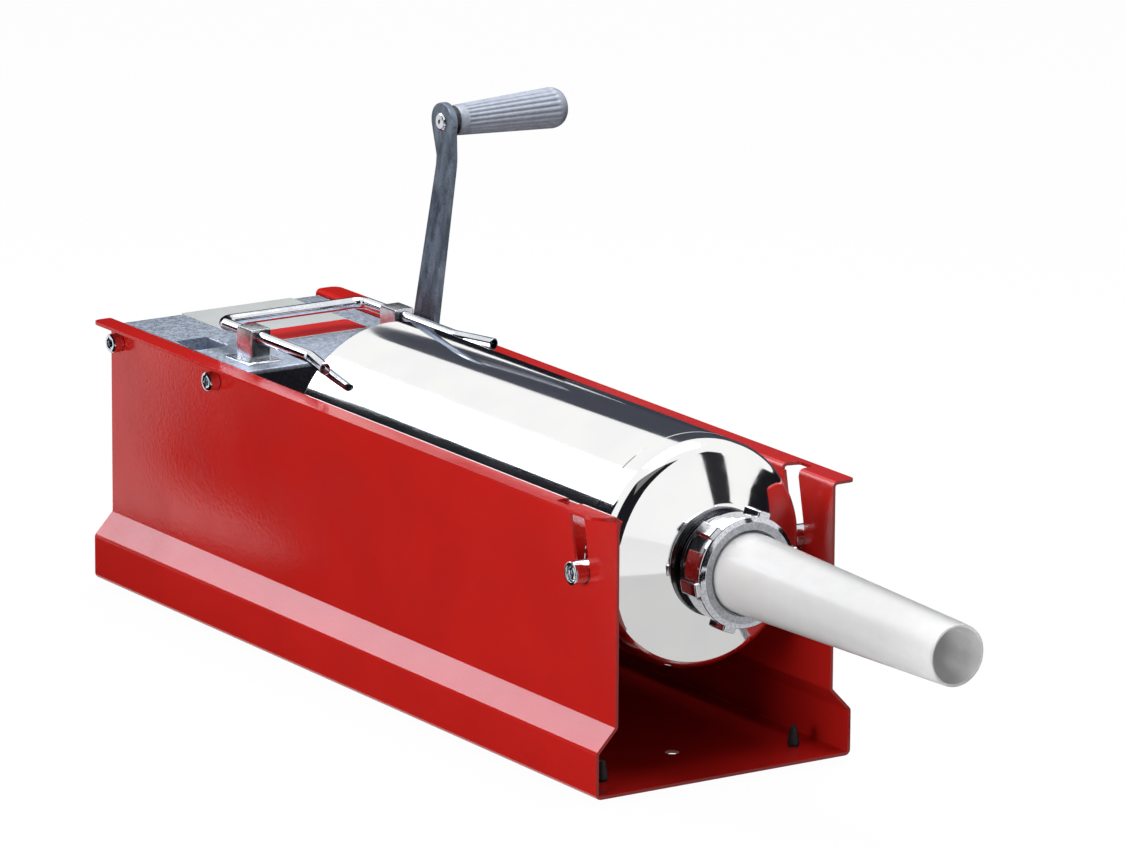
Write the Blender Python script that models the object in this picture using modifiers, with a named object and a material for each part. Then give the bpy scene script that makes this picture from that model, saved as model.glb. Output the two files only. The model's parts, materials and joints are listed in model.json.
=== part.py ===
"""Horizontal sausage stuffer: folded chassis, cast gearbox, steel barrel, crank, rack and piston.

Metres, +Z up.  The origin is the middle of the chassis floor's underside.  +X points to the
filling nozzle, -Y is the plain side and +Y the crank side.
"""

import math

import bmesh
import bpy
from mathutils import Matrix, Vector

# Clearances
SEAT_GAP = 0.0003          # between pieces that touch
SHAFT_GAP = 0.0003         # radial, shaft in its bush or gear
FLUSH_GAP = 0.0001         # how far a flush rivet lies behind its face
GUIDE_GAP = 0.0004         # around the rack in its guides
BACKLASH = 0.00015         # taken off each flank pair of a gear
CUT_MARGIN = 0.004         # how far a cutter runs past what it cuts

# Chassis, folded from one sheet
CHASSIS_LENGTH = 0.594
CHASSIS_HEIGHT = 0.1725
SHEET = 0.002
BASE_REACH = 0.0135        # from the wall's outer face to the side of the base
FLANGE_REACH = 0.0145      # from the wall's outer face to the flange's tip
FLARE_LOW = 0.029
FLARE_HIGH = 0.0433
FOLD_RADIUS = 0.0015       # on the inner side of a fold
FLANGE_CORNER_LARGE = 0.0125
FLANGE_CORNER_SMALL = 0.004
BENCH_HOLE_RADIUS = 0.0045
BENCH_HOLE_FROM_END = 0.056
REST_FACE_FROM_END = 0.090 # the floor's flat middle stretch, clear of the feet and bench holes

# Rubber feet
FOOT_HEIGHT = 0.0045
FOOT_RADIUS = 0.009
FOOT_STEM_RADIUS = 0.0029
FOOT_BARB_RADIUS = 0.004
FOOT_BARB_HEIGHT = 0.0125
FOOT_FROM_END = 0.028
FOOT_FROM_SIDE = 0.0225    # from the side of the base

# Gearbox casting
GEARBOX_REAR = 0.005       # from the rear end of the chassis
GEARBOX_LENGTH = 0.157
GEARBOX_DROP = 0.0025      # from the flanges down to the casting's top
GEARBOX_ROOM = 0.012625    # from the spur gear down to the casting's lower edge
GEARBOX_WALL = 0.006
GEARBOX_ROUND = 0.003
BOSS_DEPTH = 0.008         # bearing boss inside the wall
BOSS_RADIUS = 0.016
COVER_THICKNESS = 0.003
COVER_INSET = 0.0012
COVER_POST = 0.014
COVER_POST_HEIGHT = 0.018
COVER_SCREW_RADIUS = 0.0025
COVER_SCREW_HEAD = 0.0045
COVER_SCREW_HEAD_HEIGHT = 0.003
POCKET_REAR = 0.069
POCKET_LENGTH = 0.027
POCKET_WIDTH = 0.024
POCKET_DEPTH = 0.015
POCKET_FROM_SIDE = 0.0045
POCKET_FLOOR = 0.005
POCKET_ROUND = 0.003

# Lugs that carry the lock bail
LUG_FROM_FRONT = 0.0155    # from the front of the casting
LUG_LENGTH = 0.0185
LUG_WIDTH = 0.015
LUG_CROWN = 0.0056         # above the bail's axis
LUG_ROUND = 0.0015
LUG_PAD_HEIGHT = 0.0015
LUG_PAD_MARGIN = 0.005

# Screws that hold the gearbox between the walls
HOUSING_SCREW_FROM_REAR = 0.0062   # from the rear of the casting
HOUSING_SCREW_FROM_FRONT = 0.0296  # from its front
HOUSING_SCREW_DROP = 0.0115        # from its top
HOUSING_SCREW_RADIUS = 0.0039
HOUSING_SCREW_HEAD = 0.0062
HOUSING_SCREW_HEAD_HEIGHT = 0.0072
HOUSING_SCREW_LENGTH = 0.014
HOUSING_SCREW_BLOCK = 0.015
SOCKET_ACROSS = 0.0056     # hexagon socket, across the corners
SOCKET_DEPTH = 0.0035

# Lock bail
BAIL_RADIUS = 0.0039
BAIL_BORE = 0.0028
BAIL_BORE_DEPTH = 0.012
BAIL_FROM_SIDE = 0.0227    # from the casting's side to an arm
BAIL_LIFT = 0.0031         # between an arm and the barrel
BAIL_TAIL = 0.0325         # from the lugs back to the cross bar
BAIL_CORNER = 0.009
BAIL_BEND_START = 0.0075   # where the arms turn outwards, behind the barrel's rim
BAIL_END_LENGTH = 0.033
BAIL_END_ANGLE = math.radians(16)
BAIL_BEND_RADIUS = 0.020

# Barrel
BARREL_RADIUS = 0.071
BARREL_WALL = 0.0012
BARREL_DROP = 0.0402       # from the flanges down to the barrel's axis
BARREL_SIDE_GAP = 0.0055   # between the barrel and a wall
LOADING_GAP = 0.0525       # between the gearbox and the barrel
SEAM_TO_TRUNNION = 0.0098
CAP_LENGTH = 0.025
CAP_ROUND = 0.006
DOME_RISE = 0.011
REAR_BEVEL = 0.0006        # on the inner edge that the piston enters

# Threaded neck, ring nut and nozzle
NECK_RADIUS = 0.030
NECK_WALL = 0.004
NECK_LENGTH = 0.027        # in front of the dome
NECK_COLLAR_REACH = 0.0035
NECK_COLLAR = 0.003
NECK_INNER_FLANGE = 0.0015
NUT_WALL = 0.0032
NUT_LENGTH = 0.0195
NUT_COLLAR_STEP = 0.0012
NUT_LIP = 0.003
NUT_LUGS = 6
NUT_LUG_REACH = 0.0031     # beyond the wide front part
NUT_LUG_WIDTH = 0.009
NUT_LUG_INSET = 0.0015
NUT_COLLAR = 0.008         # length of the wide front part
NUT_BEVEL = 0.004
NUT_LUG_FIRST = math.radians(10)
NOZZLE_FLANGE = 0.003
NOZZLE_SHOULDER = 0.0053   # from the neck's outside to the nozzle's
NOZZLE_TAPER = 0.006       # from the radius of the base to that of the tip
NOZZLE_LENGTH = 0.2183
NOZZLE_WALL = 0.0018
NOZZLE_EDGE = 0.0008

# Trunnions on which the barrel lifts off
TRUNNION_FROM_FRONT = 0.0362       # from the front end of the chassis
TRUNNION_BELOW_AXIS = 0.0014
TRUNNION_RADIUS = 0.0073
TRUNNION_STAND_OUT = 0.009
TRUNNION_BORE = 0.0033
TRUNNION_SINK_RADIUS = 0.0052
TRUNNION_SINK = 0.0035
TRUNNION_SCREW_HEAD = 0.0048
SLOT_LEAN = math.radians(12)
NOTCH_DEPTH = 0.0095
NOTCH_WALL_WIDTH = 0.019
NOTCH_TIP_WIDTH = 0.013
NOTCH_ROUND = 0.002

# Saddle under the rear end of the barrel
SADDLE_SETBACK = 0.0205    # from the barrel's rear rim
SADDLE_FOOT = 0.028
SADDLE_SIDE_GAP = 0.0065   # between the saddle and a wall
SADDLE_BELOW_AXIS = 0.0403
SADDLE_RIVET_OFFSET = 0.045
RIVET_RADIUS = 0.0024
RIVET_HEAD = 0.0045
RIVET_HEAD_HEIGHT = 0.0018
RIVET_SINK_RADIUS = 0.0038 # the flush head under the floor
RIVET_SINK = 0.0012

# Gears
PRESSURE_ANGLE = math.radians(25)
ADDENDUM = 0.9             # in modules
DEDENDUM = 1.2
RACK_MODULE = 0.0025
RACK_PINION_TEETH = 12
RACK_PINION_WIDTH = 0.019
TRAIN_MODULE = 0.00175
DRIVE_TEETH = 14
SPUR_TEETH = 38
SPUR_WIDTH = 0.010
SPUR_FROM_MIDDLE = 0.024
DRIVE_PINION_OVERLAP = 0.003
SPUR_WEB = 0.004
SPUR_HUB_RADIUS = 0.013
SPUR_RIM = 0.005
MESH_EASE = 0.0001         # extra distance between the pinion and the rack
SPUR_ROOM = 0.003675       # between the spur gear and the casting's rear wall

# Shafts
DRIVE_SHAFT_RADIUS = 0.007
PINION_SHAFT_RADIUS = 0.008
SHAFT_END_GAP = 0.001
BUSH_WALL = 0.003
BUSH_FLANGE = 0.002
BUSH_FLANGE_STEP = 0.003
SHAFT_HOLE_EASE = 0.002

# Rack and piston
RACK_WIDTH = 0.018
RACK_HEIGHT = 0.020
RACK_REAR = 0.002
RACK_BEHIND_SEAM = 0.033   # from the barrel's seam back to the rack's front end
PISTON_REST_GAP = 0.013    # between gearbox and piston, fully wound back
RACK_TOOTH_MARGIN = 0.012
RACK_TAIL = 0.024
GUIDE_LENGTH = 0.012
GUIDE_WALL = 0.007
PISTON_PLATE_INSET = 0.0185
PISTON_PLATE = 0.004
PISTON_THICKNESS = 0.0254
PISTON_GAP = 0.0013        # between the piston and the barrel
SEAL_GAP = 0.0005
SEAL_WIDTH = 0.006
SEAL_DEPTH = 0.0035
STUD_RADIUS = 0.006
PISTON_NUT_ACROSS = 0.019
PISTON_NUT_HEIGHT = 0.008

# Crank
CRANK_RADIUS = 0.1882
CRANK_THICKNESS = 0.005
CRANK_FROM_WALL = 0.0163   # wall to the inner face of the arm at its hub
CRANK_OFFSET = 0.0189      # how far the eye stands out from the hub
CRANK_HUB_RADIUS = 0.015
CRANK_EYE_RADIUS = 0.0125
CRANK_ROOT_WIDTH = 0.028
CRANK_NECK_WIDTH = 0.0182
CRANK_NECK_SHIFT = 0.0030
CRANK_FIRST_BEND = 0.025   # from the shaft
CRANK_LAST_BEND = 0.026    # before the eye
CRANK_BEND_HALF = 0.003    # half the height that a bend takes
SQUARE_ACROSS = 0.010
SQUARE_SHORT = 0.001
STUD_LENGTH = 0.012
CRANK_STUD_RADIUS = 0.004
CRANK_WASHER_RADIUS = 0.010
CRANK_WASHER = 0.0016
CRANK_NUT_ACROSS = 0.015
CRANK_NUT_HEIGHT = 0.0065
GRIP_PIN_RADIUS = 0.004
GRIP_PIN_HEAD = 0.006
GRIP_PIN_HEAD_HEIGHT = 0.0012
GRIP_COLLAR_RADIUS = 0.0095
GRIP_COLLAR = 0.004
GRIP_LENGTH = 0.085
GRIP_ROOT_RADIUS = 0.0100
GRIP_END_RADIUS = 0.0135
GRIP_END_LENGTH = 0.010
GRIP_FLUTES = 22
GRIP_FLUTE_DEPTH = 0.0007
GRIP_FLUTE_START = 0.007   # from the root end
GRIP_BORE_DEPTH = 0.074

# Broken edges
CHAMFER = 0.001
FINE_CHAMFER = 0.0006

# Facets
ROUND_LARGE = 36
ROUND_MEDIUM = 24
ROUND_SMALL = 14
ROUND_SCREW = 10
FOLD_STEPS = 3
FLANK_STEPS = 2
GRIP_DOME_STEPS = 3
GRIP_FLUTE_STEPS = 2

# Sizes that follow from the ones above
WALL_IN = BARREL_RADIUS + BARREL_SIDE_GAP
WALL_OUT = WALL_IN + SHEET
BASE_SIDE = WALL_OUT + BASE_REACH
FLANGE_TIP = WALL_OUT + FLANGE_REACH
FOOT_OFFSET = BASE_SIDE - FOOT_FROM_SIDE
HOUSING_SIDE = WALL_IN - SEAT_GAP
GEARBOX_TOP = CHASSIS_HEIGHT - GEARBOX_DROP
GEARBOX_FRONT = GEARBOX_REAR + GEARBOX_LENGTH
BARREL_AXIS = CHASSIS_HEIGHT - BARREL_DROP
BARREL_REAR = GEARBOX_FRONT + LOADING_GAP
BARREL_BORE = BARREL_RADIUS - BARREL_WALL
TRUNNION_PLACE = CHASSIS_LENGTH - TRUNNION_FROM_FRONT
TRUNNION_HEIGHT = BARREL_AXIS - TRUNNION_BELOW_AXIS
BARREL_SEAM = TRUNNION_PLACE - SEAM_TO_TRUNNION
CAP_RIM = BARREL_SEAM + CAP_LENGTH
LUG_REAR = GEARBOX_FRONT - LUG_FROM_FRONT - LUG_LENGTH
BAIL_SPREAD = HOUSING_SIDE - BAIL_FROM_SIDE
BAIL_AXIS = BARREL_AXIS + math.sqrt(BARREL_RADIUS ** 2 - BAIL_SPREAD ** 2) + BAIL_RADIUS + BAIL_LIFT
BAIL_REAR = LUG_REAR - BAIL_TAIL
BAIL_STRAIGHT_END = BARREL_REAR - BAIL_BEND_START
HOUSING_SCREW_PLACES = (GEARBOX_REAR + HOUSING_SCREW_FROM_REAR,
                        GEARBOX_FRONT - HOUSING_SCREW_FROM_FRONT)
HOUSING_SCREW_HEIGHT = GEARBOX_TOP - HOUSING_SCREW_DROP
NECK_BORE = NECK_RADIUS - NECK_WALL
NECK_COLLAR_RADIUS = NECK_RADIUS + NECK_COLLAR_REACH
NECK_END = CAP_RIM + DOME_RISE + NECK_LENGTH
NUT_RADIUS = NECK_RADIUS + NUT_WALL
NUT_COLLAR_RADIUS = NUT_RADIUS + NUT_COLLAR_STEP
NUT_LUG_RADIUS = NUT_COLLAR_RADIUS + NUT_LUG_REACH
NUT_FRONT = NECK_END + NOZZLE_FLANGE + NUT_LIP + 2 * SEAT_GAP
NUT_REAR = NUT_FRONT - NUT_LENGTH
NOZZLE_BASE_RADIUS = NECK_RADIUS - NOZZLE_SHOULDER
NOZZLE_TIP_RADIUS = NOZZLE_BASE_RADIUS - NOZZLE_TAPER
PISTON_RADIUS = BARREL_BORE - PISTON_GAP
SEAL_RADIUS = BARREL_BORE - SEAL_GAP
PISTON_PLATE_RADIUS = PISTON_RADIUS - PISTON_PLATE_INSET
RACK_FRONT = BARREL_SEAM - RACK_BEHIND_SEAM
PISTON_TRAVEL = RACK_FRONT - GEARBOX_FRONT - PISTON_REST_GAP
SADDLE_PLACE = BARREL_REAR + SADDLE_SETBACK
SADDLE_HEIGHT = BARREL_AXIS - SADDLE_BELOW_AXIS
BUSH_IN = HOUSING_SIDE - GEARBOX_WALL - BOSS_DEPTH
RACK_TIP = BARREL_AXIS - RACK_HEIGHT / 2
RACK_PITCH_LINE = RACK_TIP + ADDENDUM * RACK_MODULE
RACK_PINION_RADIUS = RACK_MODULE * RACK_PINION_TEETH / 2
SHAFT_HEIGHT = RACK_PITCH_LINE - RACK_PINION_RADIUS - MESH_EASE
TRAIN_DISTANCE = TRAIN_MODULE * (DRIVE_TEETH + SPUR_TEETH) / 2
SPUR_TIP_RADIUS = TRAIN_MODULE * (SPUR_TEETH / 2 + ADDENDUM)
GEARBOX_BOTTOM = SHAFT_HEIGHT - SPUR_TIP_RADIUS - GEARBOX_ROOM
PINION_SHAFT_PLACE = GEARBOX_REAR + GEARBOX_WALL + SPUR_ROOM + SPUR_TIP_RADIUS
DRIVE_SHAFT_PLACE = PINION_SHAFT_PLACE + TRAIN_DISTANCE
CRANK_HUB_FACE = WALL_OUT + CRANK_FROM_WALL
CRANK_EYE_FACE = CRANK_HUB_FACE + CRANK_OFFSET
GRIP_AXIS_HEIGHT = SHAFT_HEIGHT + CRANK_RADIUS
PARTS_NAME = "sausage_stuffer"


def from_rear(distance):
    """X of a place that is measured from the rear end of the chassis."""
    return distance - CHASSIS_LENGTH / 2


def clear_scene():
    """Remove what the start-up file holds."""
    for obj in list(bpy.data.objects):
        bpy.data.objects.remove(obj, do_unlink=True)


def make_collection(name):
    """A new collection linked to the scene."""
    group = bpy.data.collections.new(name)
    bpy.context.scene.collection.children.link(group)
    return group


def material(name, colour, roughness, metallic=0.0):
    """A Principled material; the colour is linear RGB."""
    made = bpy.data.materials.new(name)
    made.use_nodes = True
    shader = made.node_tree.nodes["Principled BSDF"]
    shader.inputs["Base Color"].default_value = (*colour, 1.0)
    shader.inputs["Roughness"].default_value = roughness
    shader.inputs["Metallic"].default_value = metallic
    made.diffuse_color = (*colour, 1.0)
    return made


def place(name, data, finish, location=(0, 0, 0), turn=(0, 0, 0)):
    """An object of the part, with its own material."""
    obj = bpy.data.objects.new(name, data)
    PARTS.objects.link(obj)
    obj.location = location
    obj.rotation_euler = turn
    if finish is not None:
        data.materials.clear()
        data.materials.append(FINISHES[finish])
    return obj


def as_cutter(obj):
    """Move an object to the cutters, where it isn't a piece of the part."""
    PARTS.objects.unlink(obj)
    CUTTERS.objects.link(obj)
    obj.hide_render = True
    obj.display_type = "WIRE"
    return obj


def boolean(obj, tool, operation="DIFFERENCE", solver="EXACT"):
    """Cut obj with tool, or join tool to it."""
    made = obj.modifiers.new(operation.lower() + "_" + tool.name, "BOOLEAN")
    made.operation = operation
    made.solver = solver
    made.object = as_cutter(tool)


def axis_empty(name, location):
    """The parent of a moving group, standing on its joint's axis."""
    empty = bpy.data.objects.new(name, None)
    empty.location = location
    empty.empty_display_size = 0.03
    CUTTERS.objects.link(empty)
    return empty


# Shapes
ALONG_X = (0, math.radians(90), 0)
ALONG_Y = (math.radians(-90), 0, 0)
ALONG_MINUS_Y = (math.radians(90), 0, 0)
UPRIGHT = (0, 0, 0)


def box(name, low, high, finish=None, round_edges=0.0, steps=2):
    """A box between two corners, with its edges rounded if asked."""
    mesh = bpy.data.meshes.new(name)
    work = bmesh.new()
    bmesh.ops.create_cube(work, size=1.0)
    size = Vector(high) - Vector(low)
    bmesh.ops.scale(work, vec=size, verts=work.verts)
    work.to_mesh(mesh)
    work.free()
    obj = place(name, mesh, finish, (Vector(low) + Vector(high)) / 2)
    if round_edges:
        soft = obj.modifiers.new("rounded_edges", "BEVEL")
        soft.width = round_edges
        soft.segments = steps
        soft.limit_method = "NONE"
    return obj


def rod(name, radius, start, length, turn, finish=None, facets=ROUND_SMALL):
    """A plain cylinder that starts at a place and runs along its turned Z."""
    mesh = bpy.data.meshes.new(name)
    work = bmesh.new()
    bmesh.ops.create_cone(work, cap_ends=True, segments=facets, radius1=radius,
                          radius2=radius, depth=length)
    bmesh.ops.translate(work, vec=(0, 0, length / 2), verts=work.verts)
    work.to_mesh(mesh)
    work.free()
    obj = place(name, mesh, finish, start, turn)
    smooth(obj)
    return obj


def hexagon(name, across_corners, start, length, turn, finish=None):
    """A six-sided bar, such as a nut or a socket."""
    return rod(name, across_corners / 2, start, length, turn, finish, facets=6)


def smooth(obj, angle=35):
    """Smooth shading that keeps the sharp edges."""
    obj.data.shade_smooth()
    obj.data.set_sharp_from_angle(angle=math.radians(angle))


def turned(name, profile, place_at, turn, finish=None, facets=ROUND_LARGE, ring=False):
    """A lathe shape from (radius, height) points that run down the outer side."""
    mesh = bpy.data.meshes.new(name)
    points = [(radius, 0.0, height) for radius, height in profile]
    edges = [(i, i + 1) for i in range(len(points) - 1)]
    if ring:
        edges.append((len(points) - 1, 0))
    mesh.from_pydata(points, edges, [])
    obj = place(name, mesh, finish, place_at, turn)
    spin = obj.modifiers.new("turned", "SCREW")
    spin.axis = "Z"
    spin.angle = math.tau
    spin.steps = facets
    spin.render_steps = facets
    spin.use_merge_vertices = True
    spin.merge_threshold = 0.00001
    spin.use_smooth_shade = True
    return obj


def arc(centre, radius, start, end, steps):
    """Points on an arc, angles in radians."""
    return [(centre[0] + radius * math.cos(start + (end - start) * i / steps),
             centre[1] + radius * math.sin(start + (end - start) * i / steps))
            for i in range(steps + 1)]


def fillet(points, radii, steps=FOLD_STEPS, closed=False):
    """The path with each corner turned into an arc; a radius of 0 keeps it sharp."""
    made = []
    count = len(points)
    for i, here in enumerate(points):
        radius = radii[i]
        if radius == 0 or (not closed and i in (0, count - 1)):
            made.append(tuple(here))
            continue
        here = Vector(here)
        before = (Vector(points[i - 1]) - here).normalized()
        after = (Vector(points[(i + 1) % count]) - here).normalized()
        half = before.angle(after) / 2
        reach = radius / math.tan(half)
        middle = here + (before + after).normalized() * radius / math.sin(half)
        first = here + before * reach - middle
        last = here + after * reach - middle
        swing = first.angle_signed(last)
        for k in range(steps + 1):
            spot = first.copy()
            spot.rotate(Matrix.Rotation(-swing * k / steps, 2))
            made.append(tuple(middle + spot))
    return made


def outline(name, points, thickness, finish=None, location=(0, 0, 0), turn=(0, 0, 0), holes=()):
    """A flat shape from closed outlines, as a mesh of the given thickness about its plane."""
    data = bpy.data.curves.new(name, "CURVE")
    data.dimensions = "2D"
    data.fill_mode = "BOTH"
    data.extrude = thickness / 2
    for loop in (points, *holes):
        spline = data.splines.new("POLY")
        spline.points.add(len(loop) - 1)
        for point, (x, y) in zip(spline.points, loop):
            point.co = (x, y, 0, 1)
        spline.use_cyclic_u = True
    return curve_to_mesh(place(name, data, finish, location, turn))


def tube(name, points, radius, finish=None, resolution=2):
    """A round bar along points, as a mesh with closed ends."""
    data = bpy.data.curves.new(name, "CURVE")
    data.dimensions = "3D"
    data.bevel_depth = radius
    data.bevel_resolution = resolution
    data.use_fill_caps = True
    spline = data.splines.new("POLY")
    spline.points.add(len(points) - 1)
    for point, spot in zip(spline.points, points):
        point.co = (*spot, 1)
    return curve_to_mesh(place(name, data, finish))


def curve_to_mesh(curve):
    """Replace a curve object by the mesh that it draws, with its caps welded on."""
    bpy.context.view_layer.update()
    graph = bpy.context.evaluated_depsgraph_get()
    mesh = bpy.data.meshes.new_from_object(curve.evaluated_get(graph))
    work = bmesh.new()
    work.from_mesh(mesh)
    bmesh.ops.remove_doubles(work, verts=work.verts, dist=0.000001)
    bmesh.ops.dissolve_limit(work, angle_limit=math.radians(0.2), verts=work.verts,
                             edges=work.edges)
    bmesh.ops.recalc_face_normals(work, faces=work.faces)
    work.to_mesh(mesh)
    work.free()
    name = curve.name
    matrix = curve.matrix_world.copy()
    bpy.data.objects.remove(curve)
    obj = bpy.data.objects.new(name, mesh)
    obj.matrix_world = matrix
    PARTS.objects.link(obj)
    smooth(obj)
    return obj


def folded_sheet(name, path, length, thickness, finish, inward, rest_length=0.0):
    """A sheet whose section is a path of (y, z), extruded along X and given its thickness.

    With a rest_length, the middle of its lowest face is a face by itself.
    """
    mesh = bpy.data.meshes.new(name)
    work = bmesh.new()
    verts = [work.verts.new((-length / 2, y, z)) for y, z in path]
    edges = [work.edges.new(pair) for pair in zip(verts, verts[1:])]
    swept = bmesh.ops.extrude_edge_only(work, edges=edges)
    moved = [item for item in swept["geom"] if isinstance(item, bmesh.types.BMVert)]
    bmesh.ops.translate(work, vec=(length, 0, 0), verts=moved)
    if rest_length:
        level = min(vert.co.z for vert in work.verts) + FLUSH_GAP
        for x in (-rest_length / 2, rest_length / 2):
            floor = [face for face in work.faces if all(vert.co.z < level for vert in face.verts)]
            around = {item for face in floor for item in (*face.verts, *face.edges)}
            bmesh.ops.bisect_plane(work, geom=floor + list(around), plane_co=(x, 0, 0),
                                   plane_no=(1, 0, 0))
    work.to_mesh(mesh)
    work.free()
    obj = place(name, mesh, finish)
    shell = obj.modifiers.new("sheet", "SOLIDIFY")
    shell.thickness = thickness
    shell.offset = inward
    shell.use_even_offset = True
    return obj


# Chassis and feet
def chassis_section():
    """Outer line of the folded sheet from one flange tip to the other, as (y, z)."""
    outer = FOLD_RADIUS + SHEET
    half = [
        (FLANGE_TIP, CHASSIS_HEIGHT - SHEET),
        (WALL_OUT, CHASSIS_HEIGHT - SHEET),
        (WALL_OUT, FLARE_HIGH),
        (BASE_SIDE, FLARE_LOW),
        (BASE_SIDE, 0.0),
    ]
    radii = [0, FOLD_RADIUS, FOLD_RADIUS, outer, outer]
    mirrored = [(-y, z) for y, z in half]
    return fillet(half + mirrored[::-1], radii + radii[::-1])


def flange_corner_cutter(x_side, y_side, radius):
    """What is left outside the round corner of a flange."""
    end = CHASSIS_LENGTH / 2
    tip = FLANGE_TIP
    far = CUT_MARGIN
    points = arc((end - radius, tip - radius), radius, 0, math.pi / 2, 5)
    points += [(end - radius, tip + far), (end + far, tip + far), (end + far, tip - radius)]
    points = [(x_side * x, y_side * y) for x, y in points]
    name = "flange_corner_cutter_%d_%d" % (x_side, y_side)
    return outline(name, points, 4 * SHEET, None, (0, 0, CHASSIS_HEIGHT - SHEET / 2))


def slot_cutter():
    """The leaning slots of both walls, in one cutter across the chassis."""
    radius = TRUNNION_RADIUS + SEAT_GAP
    rise = CHASSIS_HEIGHT - TRUNNION_HEIGHT + CUT_MARGIN
    points = arc((0, 0), radius, math.pi, math.tau, 10)
    points += [(radius, rise), (-radius, rise)]
    obj = outline("slot_cutter", points, 2 * WALL_OUT + SHEET, None,
                  (from_rear(TRUNNION_PLACE), 0, TRUNNION_HEIGHT))
    obj.rotation_euler = (math.radians(90), -SLOT_LEAN, 0)
    return obj


def notch_cutter(side):
    """The notch through which a trunnion leaves its flange."""
    middle = TRUNNION_PLACE - math.tan(SLOT_LEAN) * (CHASSIS_HEIGHT - TRUNNION_HEIGHT)
    wall, tip = NOTCH_WALL_WIDTH / 2, NOTCH_TIP_WIDTH / 2
    start, end = WALL_IN - SHEET, WALL_OUT + NOTCH_DEPTH
    points = [(-wall, start), (wall, start), (tip, end), (-tip, end)]
    points = fillet(points, (0, 0, NOTCH_ROUND, NOTCH_ROUND), closed=True)
    points = [(x, side * y) for x, y in points]
    return outline("notch_cutter_%d" % side, points, 3 * SHEET, None,
                   (from_rear(middle), 0, CHASSIS_HEIGHT - SHEET / 2))


def make_chassis():
    """The folded sheet with its slots, notches and holes."""
    chassis = folded_sheet("chassis", chassis_section(), CHASSIS_LENGTH, SHEET, "paint", -1,
                           CHASSIS_LENGTH - 2 * REST_FACE_FROM_END)
    corners = {(1, -1): FLANGE_CORNER_LARGE, (1, 1): FLANGE_CORNER_SMALL,
               (-1, -1): FLANGE_CORNER_LARGE / 2, (-1, 1): FLANGE_CORNER_LARGE / 2}
    for (x_side, y_side), radius in corners.items():
        boolean(chassis, flange_corner_cutter(x_side, y_side, radius))
    boolean(chassis, slot_cutter())
    for side in (-1, 1):
        boolean(chassis, notch_cutter(side), solver="MANIFOLD")
    for place_x in HOUSING_SCREW_PLACES:
        start = (from_rear(place_x), -WALL_OUT - CUT_MARGIN, HOUSING_SCREW_HEIGHT)
        boolean(chassis, rod("wall_screw_cutter", HOUSING_SCREW_RADIUS + SHAFT_GAP, start,
                             2 * (WALL_OUT + CUT_MARGIN), ALONG_Y, facets=ROUND_SCREW),
                solver="MANIFOLD")
    start = (from_rear(DRIVE_SHAFT_PLACE), WALL_IN - CUT_MARGIN, SHAFT_HEIGHT)
    boolean(chassis, rod("crank_hole_cutter", DRIVE_SHAFT_RADIUS + SHAFT_HOLE_EASE, start,
                         SHEET + 2 * CUT_MARGIN, ALONG_Y))
    for x, y in foot_places():
        boolean(chassis, floor_cutter(FOOT_STEM_RADIUS + SHAFT_GAP, x, y))
    for side in (-1, 1):
        boolean(chassis, rivet_cutter(*rivet_place(side)))
        end = side * (CHASSIS_LENGTH / 2 - BENCH_HOLE_FROM_END)
        boolean(chassis, floor_cutter(BENCH_HOLE_RADIUS, end, 0))
    return chassis


def floor_cutter(radius, x, y):
    """A hole through the floor of the chassis."""
    return rod("floor_hole_cutter", radius, (x, y, -CUT_MARGIN), SHEET + 2 * CUT_MARGIN,
               UPRIGHT, facets=ROUND_SCREW)


def rivet_cutter(x, y):
    """A hole through the floor, countersunk from below for a flush rivet."""
    hole, sink = RIVET_RADIUS + SHAFT_GAP, RIVET_SINK_RADIUS + SHAFT_GAP
    profile = [(0, SHEET + CUT_MARGIN), (hole, SHEET + CUT_MARGIN), (hole, RIVET_SINK), (sink, 0),
               (sink, -CUT_MARGIN), (0, -CUT_MARGIN)]
    return turned("rivet_hole_cutter", profile, (x, y, 0), UPRIGHT, None, ROUND_SCREW)


def foot_places():
    """The four feet, near side before far side, rear before front."""
    reach = CHASSIS_LENGTH / 2 - FOOT_FROM_END
    return [(x, y) for x in (-reach, reach) for y in (-FOOT_OFFSET, FOOT_OFFSET)]


def make_feet():
    """Push-in rubber feet: a pad below the floor and a barbed stem above it."""
    names = ("foot_rear_near", "foot_rear_far", "foot_front_near", "foot_front_far")
    top = SHEET + SEAT_GAP
    profile = [
        (0, top + FOOT_BARB_HEIGHT), (FOOT_BARB_RADIUS * 0.35, top + FOOT_BARB_HEIGHT),
        (FOOT_BARB_RADIUS, top), (FOOT_STEM_RADIUS, top), (FOOT_STEM_RADIUS, -SEAT_GAP),
        (FOOT_RADIUS, -SEAT_GAP), (FOOT_RADIUS * 0.9, -FOOT_HEIGHT), (0, -FOOT_HEIGHT),
    ]
    for name, (x, y) in zip(names, foot_places()):
        turned(name, profile, (x, y, 0), UPRIGHT, "rubber", ROUND_SCREW)


# Gearbox
def make_housing():
    """The cast gearbox with its cavity, bosses, lugs, pocket and bores."""
    rear, front = from_rear(GEARBOX_REAR), from_rear(GEARBOX_FRONT)
    wall = GEARBOX_WALL
    housing = box("gearbox_housing", (rear, -HOUSING_SIDE, GEARBOX_BOTTOM),
                  (front, HOUSING_SIDE, GEARBOX_TOP), "casting", GEARBOX_ROUND)
    boolean(housing, box("cavity_cutter", (rear + wall, wall - HOUSING_SIDE, GEARBOX_BOTTOM - wall),
                         (front - wall, HOUSING_SIDE - wall, GEARBOX_TOP - wall)))
    for tool in housing_blocks(rear, front):
        boolean(housing, tool, "UNION")
    for tool in housing_cutters():
        boolean(housing, tool)
    return housing


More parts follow.
